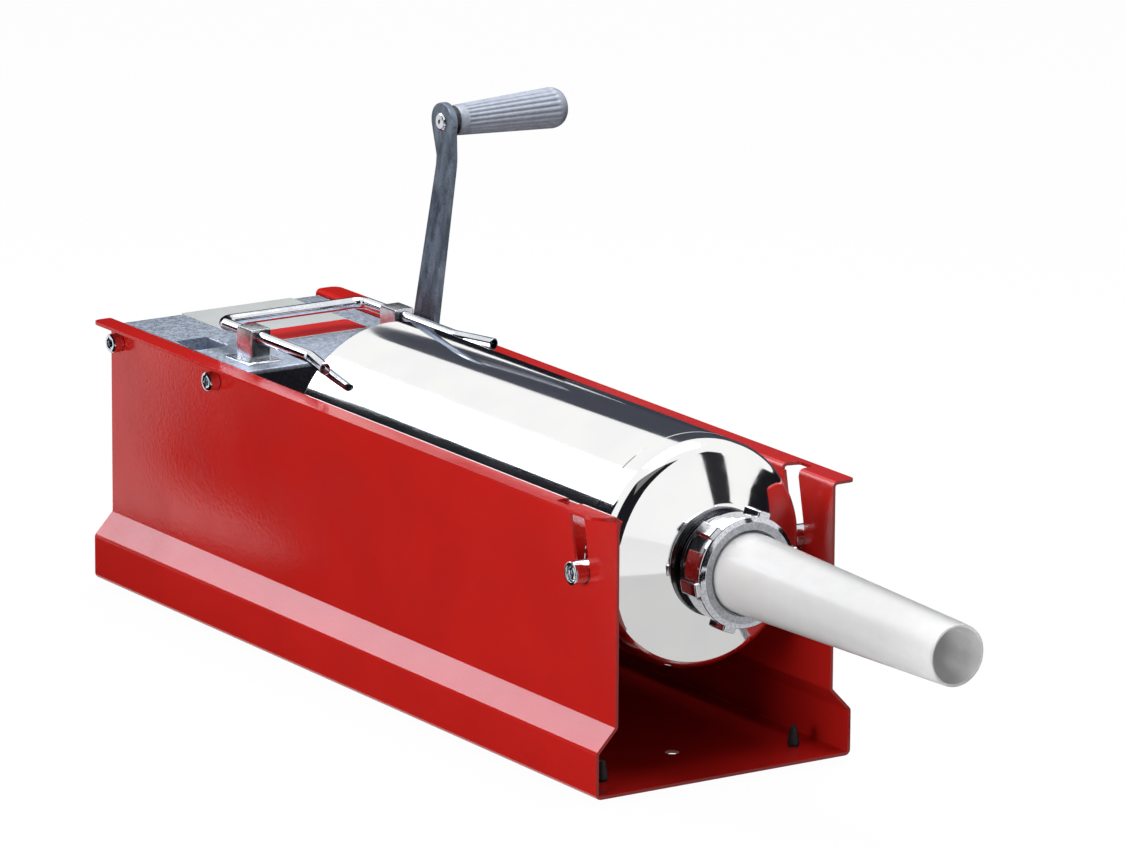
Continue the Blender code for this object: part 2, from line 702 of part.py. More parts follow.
def housing_blocks(rear, front):
    """What stands inside and on top of the casting's walls."""
    sunk = GEARBOX_WALL / 2
    inside = HOUSING_SIDE - GEARBOX_WALL
    blocks = []
    for side in (-1, 1):
        low, high = sorted((side * (BAIL_SPREAD - LUG_WIDTH / 2), side * (BAIL_SPREAD + LUG_WIDTH / 2)))
        x = from_rear(LUG_REAR)
        margin = LUG_PAD_MARGIN
        blocks.append(box("lug_pad_%d" % side, (x - margin, low - margin, GEARBOX_TOP - sunk),
                          (x + LUG_LENGTH + margin, high + margin, GEARBOX_TOP + LUG_PAD_HEIGHT),
                          None, LUG_PAD_HEIGHT / 2, 1))
        blocks.append(box("lug_%d" % side, (x, low, GEARBOX_TOP - sunk),
                          (x + LUG_LENGTH, high, BAIL_AXIS + LUG_CROWN), None, LUG_ROUND))
        for place_x, radius in ((DRIVE_SHAFT_PLACE, BOSS_RADIUS), (PINION_SHAFT_PLACE, BOSS_RADIUS)):
            start = (from_rear(place_x), side * BUSH_IN, SHAFT_HEIGHT)
            turn = ALONG_Y if side > 0 else ALONG_MINUS_Y
            blocks.append(rod("bearing_boss_%d" % side, radius, start, BOSS_DEPTH + sunk, turn))
        for place_x in HOUSING_SCREW_PLACES:
            half = HOUSING_SCREW_BLOCK / 2
            x = max(from_rear(place_x), rear + sunk + half)
            low, high = sorted((side * (inside + sunk), side * (HOUSING_SIDE - HOUSING_SCREW_LENGTH)))
            blocks.append(box("screw_block_%d" % side, (x - half, low, HOUSING_SCREW_HEIGHT - half),
                              (x + half, high, GEARBOX_TOP - sunk)))
        for end in (rear + sunk, front - sunk - COVER_POST):
            low, high = sorted((side * (inside + sunk), side * (inside + sunk - COVER_POST)))
            blocks.append(box("cover_post_%d" % side, (end, low, GEARBOX_BOTTOM + SEAT_GAP),
                              (end + COVER_POST, high, GEARBOX_BOTTOM + COVER_POST_HEIGHT)))
    pocket = pocket_corners(POCKET_FLOOR)
    pocket[0].z -= POCKET_FLOOR
    pocket[0].y = sunk - HOUSING_SIDE
    pocket[1].z = GEARBOX_TOP - sunk
    blocks.append(box("pocket_block", *pocket))
    half_width, half_height = guide_half_sizes(GUIDE_WALL)
    for start, end in ((rear + sunk, rear + GEARBOX_WALL + GUIDE_LENGTH / 2),
                       (front - GEARBOX_WALL - GUIDE_LENGTH, front - sunk)):
        blocks.append(box("rack_guide", (start, -half_width, BARREL_AXIS - half_height),
                          (end, half_width, BARREL_AXIS + half_height)))
    return blocks


def guide_half_sizes(extra):
    """Half the width and height of the rack's guide hole, plus extra."""
    return (RACK_WIDTH / 2 + GUIDE_GAP + extra, RACK_HEIGHT / 2 + GUIDE_GAP + extra)


def pocket_corners(grow):
    """Corners of the pocket in the top of the casting, grown on its sides."""
    x = from_rear(POCKET_REAR)
    low = Vector((x, POCKET_FROM_SIDE - HOUSING_SIDE, GEARBOX_TOP - POCKET_DEPTH))
    high = Vector((x + POCKET_LENGTH, low.y + POCKET_WIDTH, GEARBOX_TOP + CUT_MARGIN))
    side = Vector((grow, grow, 0))
    return [low - side, high + side]


def housing_cutters():
    """Bores, rack guides and pocket of the casting."""
    cutters = [box("pocket_cutter", *pocket_corners(0), None, POCKET_ROUND)]
    across = 2 * (HOUSING_SIDE + CUT_MARGIN)
    bores = [(DRIVE_SHAFT_PLACE, SHAFT_HEIGHT, DRIVE_SHAFT_RADIUS + SHAFT_GAP + BUSH_WALL),
             (PINION_SHAFT_PLACE, SHAFT_HEIGHT, PINION_SHAFT_RADIUS + SHAFT_GAP + BUSH_WALL)]
    for place_x, height, radius in bores:
        start = (from_rear(place_x), -across / 2, height)
        cutters.append(rod("bush_bore_cutter", radius + SEAT_GAP, start, across, ALONG_Y))
    for place_x in HOUSING_SCREW_PLACES:
        start = (from_rear(place_x), -across / 2, HOUSING_SCREW_HEIGHT)
        cutters.append(rod("screw_bore_cutter", HOUSING_SCREW_RADIUS + SHAFT_GAP, start, across,
                           ALONG_Y, facets=ROUND_SCREW))
    for x, y in cover_screw_places():
        start = (x, y, GEARBOX_BOTTOM - CUT_MARGIN)
        cutters.append(rod("post_bore_cutter", COVER_SCREW_RADIUS + SHAFT_GAP, start,
                           COVER_POST_HEIGHT, UPRIGHT, facets=ROUND_SCREW))
    half_width, half_height = guide_half_sizes(0)
    cutters.append(box("guide_cutter", (from_rear(-CUT_MARGIN), -half_width, BARREL_AXIS - half_height),
                       (from_rear(GEARBOX_FRONT + CUT_MARGIN), half_width,
                        BARREL_AXIS + half_height)))
    start = Vector((from_rear(LUG_REAR - CUT_MARGIN), 0, BAIL_AXIS))
    for side in (-1, 1):
        spot = start + Vector((0, side * BAIL_SPREAD, 0))
        cutters.append(rod("bail_bore_cutter_%d" % side, BAIL_RADIUS + SHAFT_GAP, spot,
                           LUG_LENGTH + 2 * CUT_MARGIN, ALONG_X))
    return cutters


def cover_screw_places():
    """The corner posts' middles."""
    inset = GEARBOX_WALL / 2 + COVER_POST / 2
    xs = (from_rear(GEARBOX_REAR + inset), from_rear(GEARBOX_FRONT - inset))
    y = HOUSING_SIDE - inset
    return [(x, side * y) for x in xs for side in (-1, 1)]


def make_cover():
    """The plate that closes the casting from below, and its four screws."""
    top = GEARBOX_BOTTOM - SEAT_GAP
    low = Vector((from_rear(GEARBOX_REAR + COVER_INSET), COVER_INSET - HOUSING_SIDE,
                  top - COVER_THICKNESS))
    high = Vector((from_rear(GEARBOX_FRONT - COVER_INSET),
                   HOUSING_SIDE - COVER_INSET, top))
    cover = box("gearbox_cover", low, high, "steel")
    under = low.z - SEAT_GAP
    for number, (x, y) in enumerate(cover_screw_places(), 1):
        boolean(cover, rod("cover_hole_cutter", COVER_SCREW_RADIUS + SHAFT_GAP,
                           (x, y, low.z - CUT_MARGIN), COVER_THICKNESS + 2 * CUT_MARGIN, UPRIGHT,
                           facets=ROUND_SCREW))
        length = COVER_THICKNESS + SEAT_GAP * 2 + COVER_POST_HEIGHT / 2
        profile = [(0, length), (COVER_SCREW_RADIUS, length), (COVER_SCREW_RADIUS, 0),
                   (COVER_SCREW_HEAD, 0), (COVER_SCREW_HEAD, -COVER_SCREW_HEAD_HEIGHT * 0.6),
                   (COVER_SCREW_HEAD * 0.7, -COVER_SCREW_HEAD_HEIGHT), (0, -COVER_SCREW_HEAD_HEIGHT)]
        turned("cover_screw_%d" % number, profile, (x, y, under), UPRIGHT, "chrome", ROUND_SCREW)


def make_housing_screws():
    """Socket-head screws through the walls into the casting."""
    for x_name, place_x in zip(("rear", "front"), HOUSING_SCREW_PLACES):
        for y_name, side in (("near", -1), ("far", 1)):
            head = HOUSING_SCREW_HEAD
            tall = HOUSING_SCREW_HEAD_HEIGHT
            length = HOUSING_SCREW_LENGTH + SHEET
            profile = [(0, tall), (head - FINE_CHAMFER, tall), (head, tall - FINE_CHAMFER), (head, 0),
                       (HOUSING_SCREW_RADIUS, 0), (HOUSING_SCREW_RADIUS, -length), (0, -length)]
            turn = ALONG_Y if side > 0 else ALONG_MINUS_Y
            face = side * (WALL_OUT + SEAT_GAP)
            at = Vector((from_rear(place_x), face, HOUSING_SCREW_HEIGHT))
            name = "housing_screw_%s_%s" % (x_name, y_name)
            screw = turned(name, profile, at, turn, "chrome", ROUND_SCREW)
            at.y += side * (tall - SOCKET_DEPTH)
            boolean(screw, hexagon("socket_cutter_" + name, SOCKET_ACROSS, at,
                                   SOCKET_DEPTH + CUT_MARGIN, turn))


def make_bushes():
    """Flanged bushes of the two shafts, one in each side wall."""
    shafts = (("drive", DRIVE_SHAFT_PLACE, DRIVE_SHAFT_RADIUS),
              ("pinion", PINION_SHAFT_PLACE, PINION_SHAFT_RADIUS))
    length = HOUSING_SIDE - BUSH_IN
    for shaft, place_x, radius in shafts:
        bore = radius + SHAFT_GAP
        outer = bore + BUSH_WALL
        flange = outer + BUSH_FLANGE_STEP
        low = -SEAT_GAP - BUSH_FLANGE
        profile = [(outer, length), (outer, -SEAT_GAP), (flange, -SEAT_GAP), (flange, low),
                   (bore, low), (bore, length)]
        for name, side in (("near", -1), ("far", 1)):
            turned("%s_bush_%s" % (shaft, name), profile,
                   (from_rear(place_x), side * BUSH_IN, SHAFT_HEIGHT),
                   ALONG_Y if side > 0 else ALONG_MINUS_Y, "bronze", ROUND_SMALL, ring=True)


# Gears and rack
def involute_point(base, radius):
    """Polar angle, from the start of the involute, at a radius."""
    roll = math.sqrt(max((radius / base) ** 2 - 1, 0))
    return roll - math.atan(roll)


def gear_outline(teeth, module, flank_steps=FLANK_STEPS):
    """Involute gear in its own plane, with a tooth on the +X axis."""
    pitch = module * teeth / 2
    base = pitch * math.cos(PRESSURE_ANGLE)
    tip = pitch + ADDENDUM * module
    root = pitch - DEDENDUM * module
    half_pitch_angle = (math.pi * module / 2 - BACKLASH) / 2 / pitch
    start = max(base, root)
    at_pitch = involute_point(base, pitch)
    points = []
    for tooth in range(teeth):
        middle = math.tau * tooth / teeth
        flank = []
        if root < base:
            flank.append((root, half_pitch_angle + at_pitch))
        for step in range(flank_steps + 1):
            radius = start + (tip - start) * step / flank_steps
            flank.append((radius, half_pitch_angle + at_pitch - involute_point(base, radius)))
        for radius, angle in flank:
            points.append((radius * math.cos(middle - angle), radius * math.sin(middle - angle)))
        for radius, angle in reversed(flank):
            points.append((radius * math.cos(middle + angle), radius * math.sin(middle + angle)))
    return points


def circle(radius, facets, centre=(0, 0)):
    """A closed round outline."""
    return arc(centre, radius, 0, math.tau * (1 - 1 / facets), facets - 1)


def gear(name, teeth, module, bore, middle, width, centre_x, turn_angle):
    """A gear about the Y axis, with one tooth turned to an angle from +X towards +Z."""
    obj = outline(name, gear_outline(teeth, module), width, "gear_steel",
                  (from_rear(centre_x), middle, SHAFT_HEIGHT), (math.radians(90), 0, 0),
                  holes=(circle(bore, ROUND_SMALL),))
    obj.rotation_euler = (math.radians(90), -turn_angle, 0)
    return obj


def make_gears():
    """Rack pinion and spur gear on one shaft, drive pinion on the other."""
    upward = math.radians(90)
    gear("rack_pinion", RACK_PINION_TEETH, RACK_MODULE, PINION_SHAFT_RADIUS + SHAFT_GAP, 0,
         RACK_PINION_WIDTH, PINION_SHAFT_PLACE, upward)
    spur_middle = SPUR_FROM_MIDDLE + SPUR_WIDTH / 2
    spur = gear("spur_gear", SPUR_TEETH, TRAIN_MODULE, PINION_SHAFT_RADIUS + SHAFT_GAP,
                spur_middle, SPUR_WIDTH, PINION_SHAFT_PLACE, 0)
    recess_out = TRAIN_MODULE * (SPUR_TEETH / 2 - DEDENDUM) - SPUR_RIM
    depth = (SPUR_WIDTH - SPUR_WEB) / 2
    for side in (-1, 1):
        face = spur_middle + side * SPUR_WIDTH / 2
        profile = [(recess_out, CUT_MARGIN), (recess_out, -depth), (SPUR_HUB_RADIUS, -depth),
                   (SPUR_HUB_RADIUS, CUT_MARGIN)]
        boolean(spur, turned("spur_recess_cutter_%d" % side, profile,
                             (from_rear(PINION_SHAFT_PLACE), face, SHAFT_HEIGHT),
                             ALONG_Y if side > 0 else ALONG_MINUS_Y, None, ROUND_SMALL, ring=True))
    half_tooth = math.pi / DRIVE_TEETH
    gear("drive_pinion", DRIVE_TEETH, TRAIN_MODULE, DRIVE_SHAFT_RADIUS + SHAFT_GAP, spur_middle,
         SPUR_WIDTH + 2 * DRIVE_PINION_OVERLAP, DRIVE_SHAFT_PLACE, math.pi + half_tooth)


def make_pinion_shaft():
    """The shaft that carries the spur gear and the rack pinion."""
    length = 2 * (HOUSING_SIDE - SHAFT_END_GAP)
    rod("pinion_shaft", PINION_SHAFT_RADIUS,
        (from_rear(PINION_SHAFT_PLACE), -length / 2, SHAFT_HEIGHT), length, ALONG_Y, "steel")


def rack_profile():
    """Side view of the toothed bar as (x, z), with a gap above the pinion's tooth."""
    pitch = math.pi * RACK_MODULE
    low, high = RACK_TIP, BARREL_AXIS + RACK_HEIGHT / 2
    root = RACK_PITCH_LINE + DEDENDUM * RACK_MODULE
    half = (pitch / 2 - BACKLASH) / 2
    at_tip = half - math.tan(PRESSURE_ANGLE) * ADDENDUM * RACK_MODULE
    at_root = half + math.tan(PRESSURE_ANGLE) * DEDENDUM * RACK_MODULE
    first_gap = from_rear(PINION_SHAFT_PLACE)
    before = int((PINION_SHAFT_PLACE - RACK_REAR - RACK_TAIL) / pitch)
    after = int((PISTON_TRAVEL + RACK_TOOTH_MARGIN) / pitch)
    points = [(from_rear(RACK_REAR), high), (from_rear(RACK_REAR), low)]
    for number in range(-before, after + 1):
        x = first_gap + number * pitch
        points += [(x - pitch / 2 + at_tip, low), (x - pitch / 2 + at_root, root),
                   (x + pitch / 2 - at_root, root), (x + pitch / 2 - at_tip, low)]
    points += [(from_rear(RACK_FRONT), low), (from_rear(RACK_FRONT), high)]
    return points


def make_rack():
    """The toothed bar with the stud that holds the piston."""
    rack = outline("rack", rack_profile(), RACK_WIDTH, "steel", (0, 0, 0), (math.radians(90), 0, 0))
    length = PISTON_PLATE + PISTON_THICKNESS + PISTON_NUT_HEIGHT + 3 * SEAT_GAP
    start = (from_rear(RACK_FRONT) - CUT_MARGIN, 0, BARREL_AXIS)
    boolean(rack, rod("rack_stud", STUD_RADIUS, start, length + CUT_MARGIN, ALONG_X), "UNION",
            "MANIFOLD")
    return rack


def make_piston():
    """Backing plate, piston with its seal, and the nut in front."""
    bore = STUD_RADIUS + SHAFT_GAP
    plate_at = from_rear(RACK_FRONT) + SEAT_GAP
    profile = [(PISTON_PLATE_RADIUS, PISTON_PLATE), (PISTON_PLATE_RADIUS, CHAMFER),
               (PISTON_PLATE_RADIUS - CHAMFER, 0), (bore, 0), (bore, PISTON_PLATE)]
    turned("piston_plate", profile, (plate_at, 0, BARREL_AXIS), ALONG_X, "steel", ROUND_MEDIUM,
           ring=True)
    disc_at = plate_at + PISTON_PLATE + SEAT_GAP
    edge = 2 * CHAMFER
    groove = (PISTON_THICKNESS - SEAL_WIDTH) / 2 - SEAT_GAP
    deep = SEAL_RADIUS - SEAL_DEPTH - SEAT_GAP
    thick = PISTON_THICKNESS
    profile = [(PISTON_RADIUS - edge, thick), (PISTON_RADIUS, thick - edge),
               (PISTON_RADIUS, thick - groove), (deep, thick - groove), (deep, groove),
               (PISTON_RADIUS, groove), (PISTON_RADIUS, CHAMFER), (PISTON_RADIUS - CHAMFER, 0),
               (bore, 0), (bore, thick)]
    turned("piston_disc", profile, (disc_at, 0, BARREL_AXIS), ALONG_X, "nylon", ROUND_MEDIUM,
           ring=True)
    seal_at = disc_at + (PISTON_THICKNESS - SEAL_WIDTH) / 2
    inner = SEAL_RADIUS - SEAL_DEPTH
    profile = [(SEAL_RADIUS - CHAMFER, SEAL_WIDTH), (SEAL_RADIUS, SEAL_WIDTH - CHAMFER),
               (SEAL_RADIUS, CHAMFER), (SEAL_RADIUS - CHAMFER, 0), (inner, 0), (inner, SEAL_WIDTH)]
    turned("piston_seal", profile, (seal_at, 0, BARREL_AXIS), ALONG_X, "rubber", ROUND_MEDIUM,
           ring=True)
    nut_at = (disc_at + PISTON_THICKNESS + SEAT_GAP, 0, BARREL_AXIS)
    nut = hexagon("piston_nut", PISTON_NUT_ACROSS / math.cos(math.pi / 6), nut_at,
                  PISTON_NUT_HEIGHT, ALONG_X, "chrome")
    start = (nut_at[0] - CUT_MARGIN, 0, BARREL_AXIS)
    boolean(nut, rod("piston_nut_cutter", bore, start, PISTON_NUT_HEIGHT + 2 * CUT_MARGIN, ALONG_X))


# Crank
def crank_shape():
    """Flat outline of the arm: x across, y up from the shaft."""
    eye, hub = CRANK_EYE_RADIUS, CRANK_HUB_RADIUS
    length = CRANK_RADIUS
    bend = length - CRANK_LAST_BEND
    shift, half = CRANK_NECK_SHIFT, CRANK_NECK_WIDTH / 2
    start = math.radians(-25)
    top = arc((0, length), eye, start, math.pi - start, 14)
    bottom = arc((0, 0), hub, math.pi, math.tau, 12)
    root = CRANK_ROOT_WIDTH / 2
    low, high = bend - CRANK_BEND_HALF, bend + CRANK_BEND_HALF
    left = [(shift - half, high), (shift - half, low), (-root, hub)]
    right = [(root, hub), (shift + half, low), (shift + half, high)]
    return bottom + right + top + left


def crank_offset(height):
    """How far the arm stands out at a height above the shaft."""
    bend = CRANK_RADIUS - CRANK_LAST_BEND
    share = (height - CRANK_FIRST_BEND) / (bend - CRANK_FIRST_BEND)
    return CRANK_OFFSET * min(max(share, 0.0), 1.0)


def make_crank_arm(parent):
    """Flat bar with a square hole, set outwards between its two bends."""
    shaft_x = from_rear(DRIVE_SHAFT_PLACE)
    arm = outline("crank_arm", crank_shape(), CRANK_THICKNESS, "galvanised",
                  holes=(circle(GRIP_PIN_RADIUS + SHAFT_GAP, ROUND_SCREW, (0, CRANK_RADIUS)),))
    work = bmesh.new()
    work.from_mesh(arm.data)
    for height in (CRANK_FIRST_BEND, CRANK_RADIUS - CRANK_LAST_BEND):
        bmesh.ops.bisect_plane(work, geom=work.verts[:] + work.edges[:] + work.faces[:],
                               plane_co=(0, height, 0), plane_no=(0, 1, 0))
    for vert in work.verts:
        vert.co = (vert.co.x, vert.co.z + CRANK_THICKNESS / 2 + crank_offset(vert.co.y), vert.co.y)
    bmesh.ops.recalc_face_normals(work, faces=work.faces)
    work.to_mesh(arm.data)
    work.free()
    arm.location = (shaft_x, CRANK_HUB_FACE, SHAFT_HEIGHT)
    hang(arm, parent)
    half = SQUARE_ACROSS / 2 + SEAT_GAP
    middle = Vector((shaft_x, CRANK_HUB_FACE, SHAFT_HEIGHT))
    boolean(arm, box("square_hole_cutter", middle - Vector((half, CUT_MARGIN, half)),
                     middle + Vector((half, CUT_MARGIN + CRANK_THICKNESS, half))))


def hang(obj, parent):
    """Parent an object and keep it where it is."""
    obj.location = Vector(obj.location) - parent.location
    obj.parent = parent


def make_drive_shaft(parent):
    """Round shaft with a square end for the crank and a stud for its nut."""
    shaft_x = from_rear(DRIVE_SHAFT_PLACE)
    start = SHAFT_END_GAP - HOUSING_SIDE
    shoulder = CRANK_HUB_FACE - SEAT_GAP
    length = shoulder - start
    stud = length + CRANK_THICKNESS + STUD_LENGTH
    edge = FINE_CHAMFER
    profile = [(0, stud), (CRANK_STUD_RADIUS - edge, stud), (CRANK_STUD_RADIUS, stud - edge),
               (CRANK_STUD_RADIUS, length), (DRIVE_SHAFT_RADIUS - edge, length),
               (DRIVE_SHAFT_RADIUS, length - edge), (DRIVE_SHAFT_RADIUS, 0), (0, 0)]
    shaft = turned("drive_shaft", profile, (shaft_x, start, SHAFT_HEIGHT), ALONG_Y, "steel",
                   ROUND_SMALL)
    half = SQUARE_ACROSS / 2
    boolean(shaft, box("square_end", (shaft_x - half, shoulder - CUT_MARGIN, SHAFT_HEIGHT - half),
                       (shaft_x + half, shoulder + CRANK_THICKNESS - SQUARE_SHORT,
                        SHAFT_HEIGHT + half)), "UNION")
    hang(shaft, parent)


def make_crank_fixings(parent):
    """Washer and nut that hold the arm on its square."""
    shaft_x = from_rear(DRIVE_SHAFT_PLACE)
    bore = CRANK_STUD_RADIUS + SHAFT_GAP
    face = CRANK_HUB_FACE + CRANK_THICKNESS + SEAT_GAP
    profile = [(CRANK_WASHER_RADIUS, CRANK_WASHER), (CRANK_WASHER_RADIUS, 0), (bore, 0),
               (bore, CRANK_WASHER)]
    hang(turned("crank_washer", profile, (shaft_x, face, SHAFT_HEIGHT), ALONG_Y, "chrome",
                ROUND_SMALL, ring=True), parent)
    face += CRANK_WASHER + SEAT_GAP
    nut = hexagon("crank_nut", CRANK_NUT_ACROSS, (shaft_x, face, SHAFT_HEIGHT), CRANK_NUT_HEIGHT,
                  ALONG_Y, "chrome")
    boolean(nut, rod("crank_nut_cutter", bore, (shaft_x, face - CUT_MARGIN, SHAFT_HEIGHT),
                     CRANK_NUT_HEIGHT + 2 * CUT_MARGIN, ALONG_Y))
    hang(nut, parent)


def make_grip_pin(parent):
    """Riveted pin through the eye, and the collar between arm and grip."""
    shaft_x = from_rear(DRIVE_SHAFT_PLACE)
    head = -GRIP_PIN_HEAD_HEIGHT - SEAT_GAP
    end = CRANK_THICKNESS + GRIP_COLLAR + 2 * SEAT_GAP + GRIP_BORE_DEPTH - SHAFT_END_GAP
    profile = [(0, end), (GRIP_PIN_RADIUS - CHAMFER, end), (GRIP_PIN_RADIUS, end - CHAMFER),
               (GRIP_PIN_RADIUS, -SEAT_GAP), (GRIP_PIN_HEAD, -SEAT_GAP),
               (GRIP_PIN_HEAD * 0.8, head), (0, head)]
    at = (shaft_x, CRANK_EYE_FACE, GRIP_AXIS_HEIGHT)
    hang(turned("grip_pin", profile, at, ALONG_Y, "chrome", ROUND_SMALL), parent)
    bore = GRIP_PIN_RADIUS + SHAFT_GAP
    profile = [(GRIP_COLLAR_RADIUS, GRIP_COLLAR), (GRIP_COLLAR_RADIUS, 0), (bore, 0),
               (bore, GRIP_COLLAR)]
    at = (shaft_x, CRANK_EYE_FACE + CRANK_THICKNESS + SEAT_GAP, GRIP_AXIS_HEIGHT)
    hang(turned("grip_collar", profile, at, ALONG_Y, "black_plastic", ROUND_SMALL, ring=True),
         parent)


def grip_stations():
    """Radius and height of the grip's rings, from its root to its domed end."""
    body = GRIP_LENGTH - GRIP_END_LENGTH
    slope = (GRIP_END_RADIUS - GRIP_ROOT_RADIUS) / body
    start, edge = GRIP_FLUTE_START, CHAMFER
    rings = [(GRIP_ROOT_RADIUS - edge, 0, 0), (GRIP_ROOT_RADIUS, edge, 0),
             (GRIP_ROOT_RADIUS + slope * (start - edge), start - edge, 0),
             (GRIP_ROOT_RADIUS + slope * start, start, 1),
             (GRIP_END_RADIUS - slope * edge, body - edge, 1),
             (GRIP_END_RADIUS, body, 0)]
    for step in range(1, GRIP_DOME_STEPS):
        angle = math.pi / 2 * step / GRIP_DOME_STEPS
        rings.append((GRIP_END_RADIUS * math.cos(angle) ** 0.6,
                      body + GRIP_END_LENGTH * math.sin(angle), 0))
    return rings


def make_grip():
    """Fluted, tapered grip with a blind bore, lofted from rings of outline points."""
    name = "crank_grip"
    steps = GRIP_FLUTES * GRIP_FLUTE_STEPS
    mesh = bpy.data.meshes.new(name)
    work = bmesh.new()
    rings = []
    for radius, height, fluted in grip_stations():
        ring = []
        for i in range(steps):
            angle = math.tau * i / steps
            dip = GRIP_FLUTE_DEPTH * fluted if i % GRIP_FLUTE_STEPS == 0 else 0.0
            spot = radius - dip
            ring.append(work.verts.new((spot * math.cos(angle), spot * math.sin(angle), height)))
        rings.append(ring)
    for low, high in zip(rings, rings[1:]):
        for i in range(steps):
            j = (i + 1) % steps
            work.faces.new((low[i], low[j], high[j], high[i]))
    work.faces.new(rings[0][::-1])
    work.faces.new(rings[-1])
    work.to_mesh(mesh)
    work.free()
    at = Vector((from_rear(DRIVE_SHAFT_PLACE),
                 CRANK_EYE_FACE + CRANK_THICKNESS + GRIP_COLLAR + 2 * SEAT_GAP, GRIP_AXIS_HEIGHT))
    grip = place(name, mesh, "grip_plastic", at, ALONG_Y)
    smooth(grip)
    start = at - Vector((0, CUT_MARGIN, 0))
    boolean(grip, rod("grip_bore_cutter", GRIP_PIN_RADIUS + SHAFT_GAP, start,
                      GRIP_BORE_DEPTH + CUT_MARGIN, ALONG_Y))


# Lock bail
def bail_half_path():
    """The bail from the middle of its cross bar to the end of one arm."""
    x = from_rear(BAIL_REAR)
    straight = from_rear(BAIL_STRAIGHT_END)
    reach = BAIL_END_LENGTH
    points = [(x, 0), (x, BAIL_SPREAD), (straight, BAIL_SPREAD),
              (straight + reach * math.cos(BAIL_END_ANGLE),
               BAIL_SPREAD + reach * math.sin(BAIL_END_ANGLE))]
    return fillet(points, (0, BAIL_CORNER, BAIL_BEND_RADIUS, 0), 4)


def make_bail():
    """The sliding U of bright tube that keeps the barrel down."""
    half = bail_half_path()
    path = [(x, -y) for x, y in half[:0:-1]] + half[1:]
    bail = tube("lock_bail", [(x, y, BAIL_AXIS) for x, y in path], BAIL_RADIUS, "chrome")
    end = Vector((*half[-1], BAIL_AXIS))
    for side in (-1, 1):
        outward = Vector((math.cos(BAIL_END_ANGLE), side * math.sin(BAIL_END_ANGLE), 0))
        tip = Vector((end.x, side * end.y, end.z))
        start = tip - outward * BAIL_BORE_DEPTH
        turn = outward.to_track_quat("Z", "Y").to_euler()
        boolean(bail, rod("bail_end_cutter_%d" % side, BAIL_BORE, start,
                          BAIL_BORE_DEPTH + CUT_MARGIN, turn, facets=ROUND_SCREW))


# Barrel
def make_barrel():
    """Tube with a bevelled rear mouth, and the spun cap welded in front."""
    length = BARREL_SEAM - BARREL_REAR
    profile = [(BARREL_RADIUS, length), (BARREL_RADIUS, 0), (BARREL_BORE + REAR_BEVEL, 0),
               (BARREL_BORE, 2 * REAR_BEVEL), (BARREL_BORE, length)]
    axis = (from_rear(BARREL_REAR), 0, BARREL_AXIS)
    turned("barrel_tube", profile, axis, ALONG_X, "stainless", ROUND_LARGE, ring=True)
    turned("barrel_cap", cap_profile(), (from_rear(BARREL_SEAM), 0, BARREL_AXIS), ALONG_X,
           "stainless", ROUND_LARGE, ring=True)


def cap_profile():
    """Section of the spun cap: dome outside, then back along the inside."""
    rim = CAP_RIM - BARREL_SEAM
    wall = BARREL_WALL
    hole = NECK_RADIUS + SEAT_GAP
    outside = [(hole, rim + DOME_RISE), (NECK_COLLAR_RADIUS, rim + DOME_RISE)]
    slope = math.atan2(DOME_RISE, BARREL_RADIUS - CAP_ROUND - NECK_COLLAR_RADIUS)
    centre = (BARREL_RADIUS - CAP_ROUND, rim - CAP_ROUND)
    rounded = arc(centre, CAP_ROUND, math.pi / 2 - slope, 0, 3)
    inner_round = arc(centre, CAP_ROUND - wall, 0, math.pi / 2 - slope, 2)
    inside = [(NECK_COLLAR_RADIUS, rim + DOME_RISE - wall), (hole, rim + DOME_RISE - wall)]
    lap = [(BARREL_RADIUS, SEAT_GAP), (BARREL_BORE, SEAT_GAP)]
    return outside + rounded + lap + inner_round + inside


def make_neck():
    """Threaded neck with a collar outside the dome and a flange inside."""
    face = CAP_RIM + DOME_RISE
    at = (from_rear(face), 0, BARREL_AXIS)
    collar = SEAT_GAP + NECK_COLLAR
    inside = -BARREL_WALL - SEAT_GAP
    end = NECK_END - face
    profile = [(NECK_RADIUS - CHAMFER, end), (NECK_RADIUS, end - CHAMFER), (NECK_RADIUS, collar),
               (NECK_COLLAR_RADIUS, collar), (NECK_COLLAR_RADIUS, SEAT_GAP),
               (NECK_RADIUS, SEAT_GAP), (NECK_RADIUS, inside),
               (NECK_COLLAR_RADIUS, inside), (NECK_COLLAR_RADIUS, inside - NECK_INNER_FLANGE),
               (NECK_BORE, inside - NECK_INNER_FLANGE), (NECK_BORE, end)]
    turned("spout_neck", profile, at, ALONG_X, "stainless", ROUND_MEDIUM, ring=True)


def make_nozzle():
    """Tapered filling tube with the flange that the ring nut holds."""
    start = NECK_END + SEAT_GAP
    length = NOZZLE_LENGTH
    flange_radius = NECK_RADIUS - SEAT_GAP
    base, tip = NOZZLE_BASE_RADIUS, NOZZLE_TIP_RADIUS
    wall, edge = NOZZLE_WALL, NOZZLE_EDGE
    root = NOZZLE_FLANGE
    profile = [(tip - edge, length), (tip, length - edge), (base, root + NUT_LIP + SEAT_GAP),
               (base, root), (flange_radius, root), (flange_radius, 0), (base - wall, 0),
               (base - wall, root + NUT_LIP), (tip - wall, length)]
    turned("nozzle", profile, (from_rear(start), 0, BARREL_AXIS), ALONG_X, "white_plastic",
           ROUND_MEDIUM, ring=True)


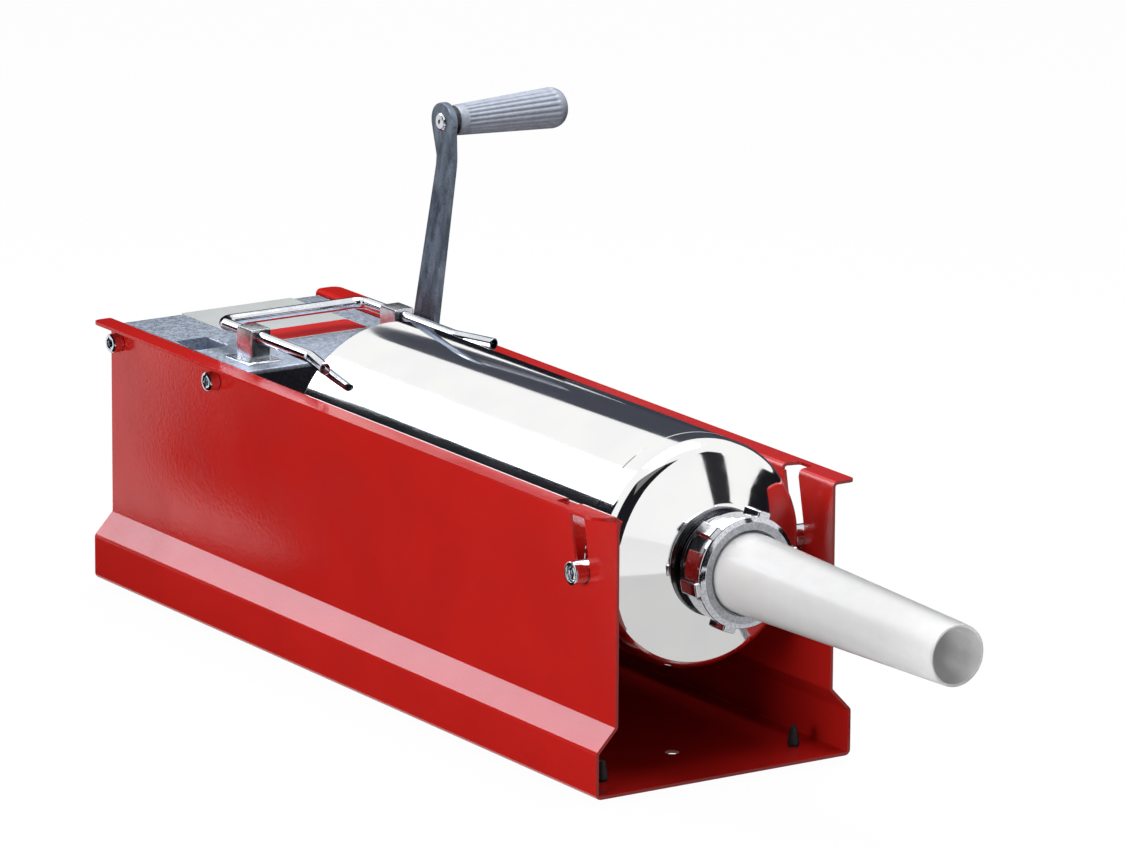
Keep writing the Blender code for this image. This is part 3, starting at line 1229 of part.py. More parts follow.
def make_ring_nut():
    """Chromed ring nut with six gripping lugs and a bevelled front."""
    length = NUT_LENGTH
    bore = NECK_RADIUS + 2 * SEAT_GAP
    hole = NOZZLE_BASE_RADIUS + 2 * SEAT_GAP
    bevel = NUT_BEVEL
    step = NUT_COLLAR_STEP
    profile = [(hole, length - CHAMFER), (NUT_COLLAR_RADIUS - bevel, length),
               (NUT_COLLAR_RADIUS, length - bevel / 2), (NUT_COLLAR_RADIUS, length - NUT_COLLAR),
               (NUT_RADIUS, length - NUT_COLLAR - step), (NUT_RADIUS, 0), (bore, 0),
               (bore, length - NUT_LIP), (hole, length - NUT_LIP)]
    at = (from_rear(NUT_REAR), 0, BARREL_AXIS)
    nut = turned("ring_nut", profile, at, ALONG_X, "chrome", ROUND_MEDIUM, ring=True)
    for number in range(NUT_LUGS):
        angle = NUT_LUG_FIRST + math.tau * number / NUT_LUGS
        sunk = NUT_LUG_INSET
        lug = box("nut_lug_%d" % number, (sunk, -NUT_LUG_WIDTH / 2, NUT_RADIUS - sunk),
                  (length - 2 * sunk, NUT_LUG_WIDTH / 2, NUT_LUG_RADIUS), None, CHAMFER, 1)
        middle = lug.location.copy()
        turn = Matrix.Rotation(angle - math.pi / 2, 4, "X")
        lug.matrix_world = Matrix.Translation(at) @ turn @ Matrix.Translation(middle)
        boolean(nut, lug, "UNION")


# Trunnions and saddle
def make_trunnions():
    """Turned sleeves on the cap's skirt that hang in the slots, with their screws."""
    for name, side in (("near", -1), ("far", 1)):
        start = BARREL_RADIUS + SEAT_GAP
        end = WALL_OUT + TRUNNION_STAND_OUT
        length = end - start
        turn = ALONG_Y if side > 0 else ALONG_MINUS_Y
        at = Vector((from_rear(TRUNNION_PLACE), side * start, TRUNNION_HEIGHT))
        edge = FINE_CHAMFER
        profile = [(TRUNNION_SINK_RADIUS, length), (TRUNNION_RADIUS - edge, length),
                   (TRUNNION_RADIUS, length - edge), (TRUNNION_RADIUS, 0), (TRUNNION_BORE, 0),
                   (TRUNNION_BORE, length - TRUNNION_SINK),
                   (TRUNNION_SINK_RADIUS, length - TRUNNION_SINK)]
        turned("trunnion_" + name, profile, at, turn, "chrome", ROUND_SMALL, ring=True)
        head = length - TRUNNION_SINK + SEAT_GAP
        top = length - FINE_CHAMFER
        shank = TRUNNION_BORE - SHAFT_GAP
        profile = [(0, top), (TRUNNION_SCREW_HEAD * 0.75, top),
                   (TRUNNION_SCREW_HEAD, (top + head) / 2), (TRUNNION_SCREW_HEAD, head),
                   (shank, head), (shank, SEAT_GAP), (0, SEAT_GAP)]
        screw = turned("trunnion_screw_" + name, profile, at, turn, "chrome", ROUND_SCREW)
        socket = at + Vector((0, side * (top - SOCKET_DEPTH / 2), 0))
        boolean(screw, hexagon("trunnion_socket_" + name, SOCKET_ACROSS * 0.8, socket,
                               SOCKET_DEPTH + CUT_MARGIN, turn))


def rivet_place(side):
    """Place of a saddle rivet on the floor."""
    return (from_rear(SADDLE_PLACE + SADDLE_FOOT * 0.6), side * SADDLE_RIVET_OFFSET)


def make_saddle():
    """Bent bracket under the barrel's rear end, riveted to the floor."""
    low = SHEET + SEAT_GAP
    start = from_rear(SADDLE_PLACE)
    path = fillet([(start, SADDLE_HEIGHT), (start, low), (start + SADDLE_FOOT, low)],
                  (0, FOLD_RADIUS + SHEET, 0))
    saddle = folded_sheet("barrel_saddle", path, 2 * (WALL_IN - SADDLE_SIDE_GAP), SHEET, "steel", 1)
    saddle.rotation_euler = (0, 0, math.radians(-90))
    start_x = from_rear(SADDLE_PLACE - SADDLE_FOOT)
    boolean(saddle, rod("saddle_arc_cutter", BARREL_RADIUS + SEAT_GAP,
                        (start_x, 0, BARREL_AXIS), 3 * SADDLE_FOOT, ALONG_X, facets=ROUND_LARGE))
    top = low + SHEET + SEAT_GAP
    for name, side in (("near", -1), ("far", 1)):
        x, y = rivet_place(side)
        boolean(saddle, rod("saddle_hole_cutter", RIVET_RADIUS + SHAFT_GAP, (x, y, 0),
                            top + CUT_MARGIN, UPRIGHT, facets=ROUND_SCREW))
        profile = [(0, top + RIVET_HEAD_HEIGHT), (RIVET_HEAD * 0.6, top + RIVET_HEAD_HEIGHT),
                   (RIVET_HEAD, top + RIVET_HEAD_HEIGHT * 0.3), (RIVET_HEAD, top),
                   (RIVET_RADIUS, top), (RIVET_RADIUS, RIVET_SINK),
                   (RIVET_SINK_RADIUS, FLUSH_GAP), (0, FLUSH_GAP)]
        turned("saddle_rivet_" + name, profile, (x, y, 0), UPRIGHT, "steel", ROUND_SCREW)


def make_finishes():
    """The part's plain materials, by the name that the pieces use."""
    return {
        "paint": material("red_enamel", (0.50, 0.020, 0.014), 0.22),
        "casting": material("die_cast_aluminium", (0.42, 0.44, 0.46), 0.55, 0.9),
        "stainless": material("polished_stainless", (0.78, 0.78, 0.77), 0.08, 1.0),
        "chrome": material("chromed_steel", (0.80, 0.81, 0.83), 0.08, 1.0),
        "steel": material("bright_steel", (0.50, 0.50, 0.51), 0.35, 1.0),
        "gear_steel": material("oiled_gear_steel", (0.33, 0.33, 0.34), 0.30, 1.0),
        "galvanised": material("galvanised_steel", (0.13, 0.14, 0.16), 0.45, 0.9),
        "bronze": material("bearing_bronze", (0.42, 0.24, 0.09), 0.35, 1.0),
        "rubber": material("black_rubber", (0.02, 0.02, 0.02), 0.8),
        "nylon": material("white_nylon", (0.75, 0.75, 0.72), 0.4),
        "white_plastic": material("white_polyethylene", (0.86, 0.86, 0.85), 0.3),
        "black_plastic": material("black_acetal", (0.02, 0.02, 0.022), 0.4),
        "grip_plastic": material("blue_grey_plastic", (0.17, 0.19, 0.24), 0.45),
    }


def main():
    """Build every sub-part in the order in which it is put together."""
    make_chassis()
    make_feet()
    make_housing()
    make_cover()
    make_housing_screws()
    make_bushes()
    make_gears()
    make_pinion_shaft()
    make_rack()
    make_piston()
    crank = axis_empty("crank_axis", (from_rear(DRIVE_SHAFT_PLACE), 0, SHAFT_HEIGHT))
    make_drive_shaft(crank)
    make_crank_arm(crank)
    make_crank_fixings(crank)
    make_grip_pin(crank)
    make_grip()
    make_bail()
    make_barrel()
    make_neck()
    make_nozzle()
    make_ring_nut()
    make_trunnions()
    make_saddle()


clear_scene()
PARTS = make_collection(PARTS_NAME)
CUTTERS = make_collection("cutters")
FINISHES = make_finishes()
main()
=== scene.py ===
"""Finished look of a hand-cranked sausage stuffer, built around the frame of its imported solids.

Metres, +Z up: +X points to the nozzle and +Y to the crank.  What a piece shares with a solid is
read from the frame; the finer sizes are the fields of the classes below.
"""

import json
import logging
import math
from collections.abc import Callable, Sequence
from dataclasses import dataclass, field
from enum import Enum

import bmesh
import bpy
from mathutils import Matrix, Vector

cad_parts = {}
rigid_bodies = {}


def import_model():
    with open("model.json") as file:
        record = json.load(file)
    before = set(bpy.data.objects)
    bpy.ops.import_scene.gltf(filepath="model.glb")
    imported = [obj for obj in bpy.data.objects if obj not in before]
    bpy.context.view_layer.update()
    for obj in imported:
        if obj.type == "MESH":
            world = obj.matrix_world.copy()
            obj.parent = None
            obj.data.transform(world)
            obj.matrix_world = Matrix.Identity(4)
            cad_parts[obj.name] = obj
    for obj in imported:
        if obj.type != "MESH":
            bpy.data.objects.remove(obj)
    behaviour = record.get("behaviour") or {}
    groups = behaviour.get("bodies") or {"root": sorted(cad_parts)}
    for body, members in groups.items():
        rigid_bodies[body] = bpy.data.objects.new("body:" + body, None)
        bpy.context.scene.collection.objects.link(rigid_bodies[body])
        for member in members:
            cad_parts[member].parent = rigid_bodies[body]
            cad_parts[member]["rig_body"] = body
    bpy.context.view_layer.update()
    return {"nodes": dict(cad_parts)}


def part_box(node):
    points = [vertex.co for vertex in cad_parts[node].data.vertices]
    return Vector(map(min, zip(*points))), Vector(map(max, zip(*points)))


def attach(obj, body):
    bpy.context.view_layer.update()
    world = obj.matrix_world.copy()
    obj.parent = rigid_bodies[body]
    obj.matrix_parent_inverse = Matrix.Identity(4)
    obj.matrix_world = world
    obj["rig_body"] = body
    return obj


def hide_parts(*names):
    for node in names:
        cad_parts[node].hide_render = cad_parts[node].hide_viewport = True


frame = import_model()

MM = 0.001
TINY = 1e-6
GAP = 0.0003             # kept between a piece and what it sits in
TIGHT = 0.0002           # small steps and roundings of turned pieces, sharpest first
SLIGHT = 0.0004
SOFT = 0.0006
FACING = 0.99            # cosine from which a face counts as level with an axis
SPOT_REACH = 0.14        # how far a noise strays from its middle before spots are full
HAZE_REACH = 0.20
MERGE_DISTANCE = 2e-6
LEVEL_ANGLE = math.radians(0.4)
SMOOTH_ANGLE = math.radians(32)
BEVEL_ANGLE = math.radians(38)
BEVEL_SEGMENTS = 2
CARD_LEVEL = -0.0035     # of the cards that lie on the floor
LOG = logging.getLogger("sausage_stuffer")

Ring = tuple[float, ...]
Profile = Sequence[Ring]
Settings = dict[str | int, object]


class Side(Enum):
    """The two long sides of the machine."""

    NEAR = -1
    FAR = 1


class Axis(Enum):
    """Directions in which turned pieces stand."""

    FORWARD = (1.0, 0.0, 0.0)
    OUT_NEAR = (0.0, -1.0, 0.0)
    OUT_FAR = (0.0, 1.0, 0.0)
    UP = (0.0, 0.0, 1.0)
    DOWN = (0.0, 0.0, -1.0)


def out_of(side: Side) -> Axis:
    """The direction that points out of a side."""
    return Axis.OUT_FAR if side is Side.FAR else Axis.OUT_NEAR


def to_linear(colour: str) -> tuple[float, float, float, float]:
    """Turn an sRGB hex colour into linear values.

    Args:
        colour: six hex digits after a hash.

    Returns:
        Red, green, blue and a full alpha.
    """
    parts = [int(colour[i:i + 2], 16) / 255 for i in (1, 3, 5)]
    linear = [p / 12.92 if p <= 0.04045 else ((p + 0.055) / 1.055) ** 2.4 for p in parts]
    return (*linear, 1.0)


def add_node(tree: bpy.types.NodeTree, kind: str, settings: Settings | None = None,
             links: Settings | None = None) -> bpy.types.Node:
    """Add a node with its settings and its incoming links.

    Args:
        tree: the tree that gets the node.
        kind: the node's type.
        settings: properties by name, and socket values by the socket's name or number.
        links: the output that feeds each socket, by the socket's name or number.

    Returns:
        The new node.
    """
    node = tree.nodes.new(kind)
    for key, value in (settings or {}).items():
        if isinstance(key, str) and hasattr(node, key):
            setattr(node, key, value)
        else:
            node.inputs[key].default_value = value
    for key, source in (links or {}).items():
        tree.links.new(source, node.inputs[key])
    return node


def emptied_tree(owner: bpy.types.Material | bpy.types.World) -> bpy.types.NodeTree:
    """The node tree of a new material or world, with nothing in it."""
    owner.use_nodes = True
    owner.node_tree.nodes.clear()
    return owner.node_tree


# Finishes
@dataclass(frozen=True)
class Grain:
    """A noise over a surface.

    The size is that of its spots in millimetres and the stretch lengthens them along an axis.
    The share is how far it takes the colour, how much it changes the roughness, or, as relief,
    its height in millimetres.
    """

    size: float
    share: float
    stretch: tuple[float, float, float] = (1.0, 1.0, 1.0)
    detail: float = 2.0


@dataclass(frozen=True)
class Finish:
    """A material and how its surface was made."""

    name: str
    slot: str
    colour: str
    tone: str
    roughness: float
    metallic: float
    mottle: Grain
    haze: Grain
    relief: Grain
    ior: float = 1.5
    subsurface: float = 0.0
    depth: float = 4.0

    def _noise(self, tree: bpy.types.NodeTree, grain: Grain) -> bpy.types.NodeSocket:
        """A noise on Object coordinates.

        Args:
            tree: the material's tree.
            grain: its size, stretch and detail.

        Returns:
            The noise, from 0 to 1.
        """
        place = add_node(tree, "ShaderNodeTexCoord")
        scale = tuple(1 / (grain.size * MM * longer) for longer in grain.stretch)
        mapping = add_node(tree, "ShaderNodeMapping", {"Scale": scale},
                           {"Vector": place.outputs["Object"]})
        noise = add_node(tree, "ShaderNodeTexNoise", {"Scale": 1.0, "Detail": grain.detail},
                         {"Vector": mapping.outputs["Vector"]})
        return noise.outputs["Fac"]

    def _faded(self, tree: bpy.types.NodeTree, grain: Grain, reach: float, low: float,
               high: float) -> bpy.types.NodeSocket:
        """The noise of a grain, taken from one value to another.

        Args:
            tree: the material's tree.
            grain: the noise.
            reach: how far from its middle the noise gives the end values.
            low: the value of its hollows.
            high: the value of its peaks.

        Returns:
            The value.
        """
        ranged = add_node(tree, "ShaderNodeMapRange",
                          {"From Min": 0.5 - reach, "From Max": 0.5 + reach, "To Min": low,
                           "To Max": high}, {"Value": self._noise(tree, grain)})
        return ranged.outputs["Result"]

    def material(self) -> bpy.types.Material:
        """The material of this finish, made once."""
        if self.name in bpy.data.materials:
            return bpy.data.materials[self.name]
        made = bpy.data.materials.new(self.name)
        made.use_nodes = True
        tree = made.node_tree
        shader = tree.nodes["Principled BSDF"]
        values = {"Metallic": self.metallic, "Subsurface Weight": self.subsurface}
        if not self.metallic:
            values["IOR"] = self.ior
        if self.subsurface:
            shader.inputs["Subsurface Radius"].default_value = (1.0, 1.0, 1.0)
            values["Subsurface Scale"] = self.depth * MM
        for socket, value in values.items():
            shader.inputs[socket].default_value = value
        spots = self._faded(tree, self.mottle, SPOT_REACH, 0.0, self.mottle.share)
        colour = add_node(tree, "ShaderNodeMix",
                          {"data_type": "RGBA", 6: to_linear(self.colour), 7: to_linear(self.tone)},
                          {0: spots})
        tree.links.new(colour.outputs[2], shader.inputs["Base Color"])
        gloss = self._faded(tree, self.haze, HAZE_REACH, max(self.roughness - self.haze.share, 0.0),
                            self.roughness + self.haze.share)
        tree.links.new(gloss, shader.inputs["Roughness"])
        bump = add_node(tree, "ShaderNodeBump", {"Distance": self.relief.share * MM},
                        {"Height": self._noise(tree, self.relief)})
        tree.links.new(bump.outputs["Normal"], shader.inputs["Normal"])
        return made


# Sprayed and baked gloss enamel: it shows a faint orange peel in what it mirrors.
ENAMEL = Finish("gloss_red_enamel", "paint", "#C4211C", "#B81D19", 0.16, 0.0,
                Grain(60, 0.6), Grain(30, 0.03), Grain(2.4, 0.09))
# Die-cast aluminium, tumbled: cool light grey with a fine dark speckle.
CASTING = Finish("tumbled_die_cast_aluminium", "casting", "#B4BECC", "#8A94A4", 0.50, 0.8,
                 Grain(1.4, 1.0, detail=3), Grain(3, 0.1), Grain(1.0, 0.03, detail=3))
# The same metal where it is machined or rubbed bright: lugs, pads and edges.
BRIGHT_CASTING = Finish("rubbed_die_cast_aluminium", "casting", "#E6E9EE", "#CDD2DA", 0.22, 1.0,
                        Grain(3, 0.7), Grain(2, 0.05), Grain(1.0, 0.004))
# The same metal on the casting's front face, which faces the barrel: its colour is darkened there as
# painted shade.
CASTING_FRONT_SHADE = Finish("as_cast_aluminium", "casting", "#4A4E5A", "#383B45", 0.55, 0.8,
                     Grain(1.4, 1.0, detail=3), Grain(3, 0.1), Grain(1.0, 0.03, detail=3))
# Spun and polished stainless steel: a mirror with faint lengthwise polishing lines.
STAINLESS = Finish("mirror_polished_stainless", "stainless", "#F7F7F6", "#EFF0F0", 0.065, 1.0,
                   Grain(40, 0.6), Grain(6, 0.015, (12, 1, 1)), Grain(1.2, 0.0008, (40, 1, 1)))
# Bright chromium over nickel: a hard mirror, slightly blue.
CHROME = Finish("bright_chrome_plate", "chrome", "#E4E8EE", "#D3D8E0", 0.07, 1.0,
                Grain(8, 0.7), Grain(5, 0.03), Grain(1.5, 0.0015))
# Nickel plating on the cast nut: bright, with fine pits.
NUT_PLATE = Finish("bright_nickel_plate", "chrome", "#DDDFE4", "#B9BCC3", 0.09, 1.0,
                   Grain(1.6, 0.7, detail=3), Grain(1.0, 0.04), Grain(1.0, 0.004))
# The nut's faced front: turned dull, light grey with a fine speckle.
NUT_FACE = Finish("faced_nickel_plate", "chrome", "#B9BBC0", "#96989E", 0.38, 1.0,
                  Grain(1.1, 0.9, detail=4), Grain(1.0, 0.08), Grain(0.8, 0.006))
# Cold-drawn steel, machined: fine lines along the piece.
STEEL = Finish("bright_drawn_steel", "steel", "#B9BABC", "#98999C", 0.30, 1.0,
               Grain(4, 0.8, (6, 1, 1)), Grain(2, 0.08), Grain(0.7, 0.004, (8, 1, 1)))
# The neck, turned from stainless bar, with turning lines: its colour is darker than the polished tube,
# as a painted dark reflection of what stands around it.
NECK_DARKENED_STEEL = Finish("turned_stainless_bar", "stainless", "#77787C", "#5C5D61", 0.20, 1.0,
              Grain(2, 0.8), Grain(2, 0.05), Grain(0.6, 0.003))
# Hobbed gear steel with an oil film.
GEAR_STEEL = Finish("oiled_gear_steel", "gear_steel", "#8E8F92", "#6A6B70", 0.28, 1.0,
                    Grain(3, 0.9), Grain(2, 0.1), Grain(0.6, 0.004))
# Zinc-plated flat bar: slate grey, cloudy, with darker handling marks.
ZINC = Finish("slate_zinc_plated_bar", "galvanised", "#7C899A", "#48525F", 0.34, 0.4,
              Grain(6, 0.9, (1, 1, 3), detail=6), Grain(3, 0.12), Grain(0.8, 0.012, detail=4))
# Turned bearing bronze.
BRONZE = Finish("turned_bearing_bronze", "bronze", "#C08A48", "#9C6B33", 0.30, 1.0,
                Grain(3, 0.8), Grain(2, 0.08), Grain(0.6, 0.003))
# Moulded black rubber: dull, a little dusty.
RUBBER = Finish("moulded_black_rubber", "rubber", "#17171A", "#26262A", 0.62, 0.0,
                Grain(3, 0.8), Grain(2, 0.1), Grain(0.5, 0.02))
# Turned white nylon.
NYLON = Finish("turned_white_nylon", "nylon", "#E9E8E2", "#DEDCD4", 0.38, 0.0,
               Grain(5, 0.8), Grain(3, 0.06), Grain(0.6, 0.006), ior=1.53, subsurface=0.3)
# Moulded polyethylene: milky, lets a little light through.
POLYTHENE = Finish("milky_white_polythene", "white_plastic", "#FCFCFD", "#F8F8FA", 0.20, 0.0,
                   Grain(14, 0.8), Grain(8, 0.04), Grain(2.0, 0.006), ior=1.51, subsurface=0.8,
                   depth=12.0)
# Black acetal washer.
ACETAL = Finish("black_acetal", "black_plastic", "#101114", "#1A1B1F", 0.30, 0.0,
                Grain(2, 0.8), Grain(2, 0.06), Grain(0.5, 0.004), ior=1.48)
# Moulded polypropylene grip, blue grey, with a fine spark-eroded surface.
GRIP = Finish("blue_grey_polypropylene", "grip_plastic", "#A9B1C0", "#989FAE", 0.36, 0.0,
              Grain(4, 0.8), Grain(3, 0.06), Grain(0.5, 0.008), ior=1.49)
# Printed foil of the bare label: satin white, and its plain red band.
FOIL = Finish("satin_white_foil", "white_plastic", "#BABEBE", "#B4B8B8", 0.45, 0.0,
              Grain(20, 0.8), Grain(6, 0.04), Grain(1.0, 0.003), ior=1.35)
RED_FOIL = Finish("red_printed_foil", "paint", "#C01F1F", "#B61C1D", 0.45, 0.0,
                  Grain(20, 0.8), Grain(6, 0.04), Grain(1.0, 0.003), ior=1.35)


# Shapes
def rounded(points: Sequence[tuple[float, float]], radii: Sequence[float], steps: int = 6,
            ) -> list[tuple[float, float]]:
    """Round the corners of an open line of points.

    Args:
        points: the corners in order.
        radii: the radius at each corner; 0 leaves it sharp.
        steps: stretches in each arc.

    Returns:
        The points with an arc in place of each rounded corner.
    """
    made: list[tuple[float, float]] = []
    for i, (point, radius) in enumerate(zip(points, radii)):
        if radius <= 0 or i in (0, len(points) - 1):
            made.append(tuple(point))
            continue
        here = Vector(point)
        back = (Vector(points[i - 1]) - here).normalized()
        ahead = (Vector(points[i + 1]) - here).normalized()
        half = back.angle(ahead) / 2
        centre = here + (back + ahead).normalized() * (radius / math.sin(half))
        first = here + back * (radius / math.tan(half)) - centre
        last = here + ahead * (radius / math.tan(half)) - centre
        sweep = first.angle_signed(last)
        for step in range(steps + 1):
            turn = Matrix.Rotation(-sweep * step / steps, 2)
            made.append(tuple(centre + turn @ first))
    return made


def flat_share(angle: float, flats: float) -> float:
    """How far a polygon reaches at an angle.

    Args:
        angle: the direction.
        flats: how many flats the polygon has.

    Returns:
        The reach as a share of its corners' radius.
    """
    wedge = math.tau / flats
    return math.cos(wedge / 2) / math.cos((angle + wedge / 2) % wedge - wedge / 2)


def turned(name: str, profile: Profile, steps: int = 128, ring: bool = False) -> bpy.types.Mesh:
    """Turn a profile about the local Z axis.

    Args:
        name: the mesh's name.
        profile: radius and height of each ring, and the number of flats of a polygonal one.
        steps: stretches around the axis.
        ring: whether the last ring joins the first.

    Returns:
        The closed mesh, with its faces pointing out.
    """
    work = bmesh.new()
    angles = [math.tau * i / steps for i in range(steps)]
    rows = []
    for radius, height, *flats in profile:
        if radius < TINY:
            rows.append([work.verts.new((0.0, 0.0, height))])
            continue
        row = []
        for angle in angles:
            reach = radius * (flat_share(angle, flats[0]) if flats else 1.0)
            row.append(work.verts.new((reach * math.cos(angle), reach * math.sin(angle), height)))
        rows.append(row)
    pairs = list(zip(rows, rows[1:])) + ([(rows[-1], rows[0])] if ring else [])
    for low, high in pairs:
        for i in range(steps):
            j = (i + 1) % steps
            corners = [low[i % len(low)], low[j % len(low)], high[j % len(high)], high[i % len(high)]]
            work.faces.new(dict.fromkeys(corners))
    bmesh.ops.recalc_face_normals(work, faces=work.faces)
    return finished_mesh(work, name)


def finished_mesh(work: bmesh.types.BMesh, name: str, angle: float = SMOOTH_ANGLE,
                  ) -> bpy.types.Mesh:
    """Write a mesh out.

    Args:
        work: the shape, which is freed.
        name: the mesh's name.
        angle: the angle between faces up to which it is shaded smooth.

    Returns:
        The new mesh.
    """
    mesh = bpy.data.meshes.new(name)
    work.to_mesh(mesh)
    work.free()
    mesh.shade_smooth()
    mesh.set_sharp_from_angle(angle=angle)
    return mesh


def standing(mesh: bpy.types.Mesh, at: Vector, axis: Axis, turn: float = 0.0) -> bpy.types.Mesh:
    """Stand a mesh that was made along local Z.

    Args:
        mesh: the mesh, which is changed.
        at: where its origin goes.
        axis: where its local Z goes.
        turn: how far it is turned about that axis.

    Returns:
        The same mesh.
    """
    tilt = Vector(axis.value).to_track_quat("Z", "Y").to_matrix().to_4x4()
    mesh.transform(Matrix.Translation(at) @ tilt @ Matrix.Rotation(turn, 4, "Z"))
    return mesh


def piece(mesh: bpy.types.Mesh, finish: Finish, body: str, *nodes: str, edge: float = 0.0,
          ) -> bpy.types.Object:
    """Show a mesh as a piece of the machine.

    Args:
        mesh: its place is in its points.
        finish: what it is made of.
        body: the body that it rides on.
        nodes: the solids that it stands for.
        edge: width of the rounding that its sharp edges get.

    Returns:
        The new object.
    """
    mesh.materials.clear()
    mesh.materials.append(finish.material())
    made = bpy.data.objects.new(mesh.name, mesh)
    bpy.context.scene.collection.objects.link(made)
    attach(made, body)
    if nodes:
        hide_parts(*nodes)
    if edge:
        bevel = made.modifiers.new("edges", "BEVEL")
        bevel.width, bevel.segments = edge, BEVEL_SEGMENTS
        bevel.limit_method, bevel.angle_limit = "ANGLE", BEVEL_ANGLE
    level = made.modifiers.new("level", "WEIGHTED_NORMAL")
    level.mode, level.keep_sharp = "FACE_AREA", True
    LOG.info("%s on %s, for %s", made.name, body, ", ".join(nodes) or "no solid")
    return made


def stood(mesh: bpy.types.Mesh, axis: Axis, finish: Finish, body: str, node: str,
          ) -> bpy.types.Object:
    """Show a turned mesh in the place of one solid, from that solid's end on.

    Args:
        mesh: the mesh, made along local Z from 0 up.
        axis: where its local Z goes.
        finish: what it is made of.
        body: the body that it rides on.
        node: the solid.

    Returns:
        The new object.
    """
    low, high, start, _ = span(node)
    for i, way in enumerate(axis.value):
        if way:
            start[i] = low[i] if way > 0 else high[i]
    return piece(standing(mesh, start, axis), finish, body, node)


def refinish_faces(made: bpy.types.Object, finish: Finish, chosen: Callable[[bpy.types.MeshPolygon], bool],
           edges: bool = False) -> None:
    """Give some faces of a piece another finish.

    Args:
        made: the piece.
        finish: the other finish.
        chosen: tells which faces get it.
        edges: whether the rounded edges get it too.
    """
    made.data.materials.append(finish.material())
    slot = len(made.data.materials) - 1
    for face in made.data.polygons:
        if chosen(face):
            face.material_index = slot
    if edges:
        made.modifiers["edges"].material = slot


def merged_copy(node: str) -> bmesh.types.BMesh:
    """A copy of a solid with its triangles joined into faces."""
    work = bmesh.new()
    work.from_mesh(frame["nodes"][node].data)
    bmesh.ops.remove_doubles(work, verts=work.verts, dist=MERGE_DISTANCE)
    bmesh.ops.dissolve_limit(work, angle_limit=LEVEL_ANGLE, verts=work.verts, edges=work.edges)
    return work


def refined(node: str, finish: Finish, edge: float, work: bmesh.types.BMesh | None = None,
            ) -> bpy.types.Object:
    """A fine copy of a solid: rounded edges and level shading.

    Args:
        node: the solid.
        finish: what it is made of.
        edge: width of the rounding.
        work: the copy to use, where it was changed first.

    Returns:
        The piece that stands for the solid.
    """
    mesh = finished_mesh(work or merged_copy(node), "fine_" + node, math.pi)
    return piece(mesh, finish, frame["nodes"][node]["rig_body"], node, edge=edge)


def span(node: str) -> tuple[Vector, Vector, Vector, Vector]:
    """Low corner, high corner, middle and half size of a solid."""
    low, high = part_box(node)
    return low, high, (low + high) / 2, (high - low) / 2


# Geometry Nodes
def new_tree(name: str, sockets: dict[str, str]) -> tuple[bpy.types.NodeTree, bpy.types.Node]:
    """A Geometry Nodes tree with its named inputs.

    Args:
        name: the tree's name.
        sockets: the type of each input after the geometry, by its name.

    Returns:
        The tree and its input node.
    """
    tree = bpy.data.node_groups.new(name, "GeometryNodeTree")
    tree.interface.new_socket("Geometry", in_out="INPUT", socket_type="NodeSocketGeometry")
    for label, kind in sockets.items():
        tree.interface.new_socket(label, in_out="INPUT", socket_type="NodeSocket" + kind)
    tree.interface.new_socket("Geometry", in_out="OUTPUT", socket_type="NodeSocketGeometry")
    return tree, add_node(tree, "NodeGroupInput")


def close_tree(tree: bpy.types.NodeTree, given: bpy.types.Node, shape: bpy.types.NodeSocket) -> None:
    """End a tree in real geometry with its material.

    Args:
        tree: the tree.
        given: its input node.
        shape: the geometry that it has made.
    """
    real = add_node(tree, "GeometryNodeRealizeInstances", {}, {"Geometry": shape})
    covered = add_node(tree, "GeometryNodeSetMaterial", {},
                       {"Geometry": real.outputs["Geometry"],
                        "Material": given.outputs["Material"]})
    add_node(tree, "NodeGroupOutput", {}, {"Geometry": covered.outputs["Geometry"]})


def grown(mesh: bpy.types.Mesh, tree: bpy.types.NodeTree, values: Settings) -> bpy.types.Mesh:
    """Run a Geometry Nodes tree and keep what it makes.

    Args:
        mesh: the geometry that goes in.
        tree: the tree.
        values: the value of each named input.

    Returns:
        A plain mesh with the same name.
    """
    name = mesh.name
    holder = bpy.data.objects.new("holder", mesh)
    bpy.context.scene.collection.objects.link(holder)
    modifier = holder.modifiers.new("growth", "NODES")
    modifier.node_group = tree
    for item in tree.interface.items_tree:
        if item.item_type == "SOCKET" and item.in_out == "INPUT" and item.name in values:
            modifier[item.identifier] = values[item.name]
    graph = bpy.context.evaluated_depsgraph_get()
    made = bpy.data.meshes.new_from_object(holder.evaluated_get(graph))
    holder.modifiers.remove(modifier)
    bpy.data.objects.remove(holder)
    bpy.data.meshes.remove(mesh)
    made.name = name
    return made


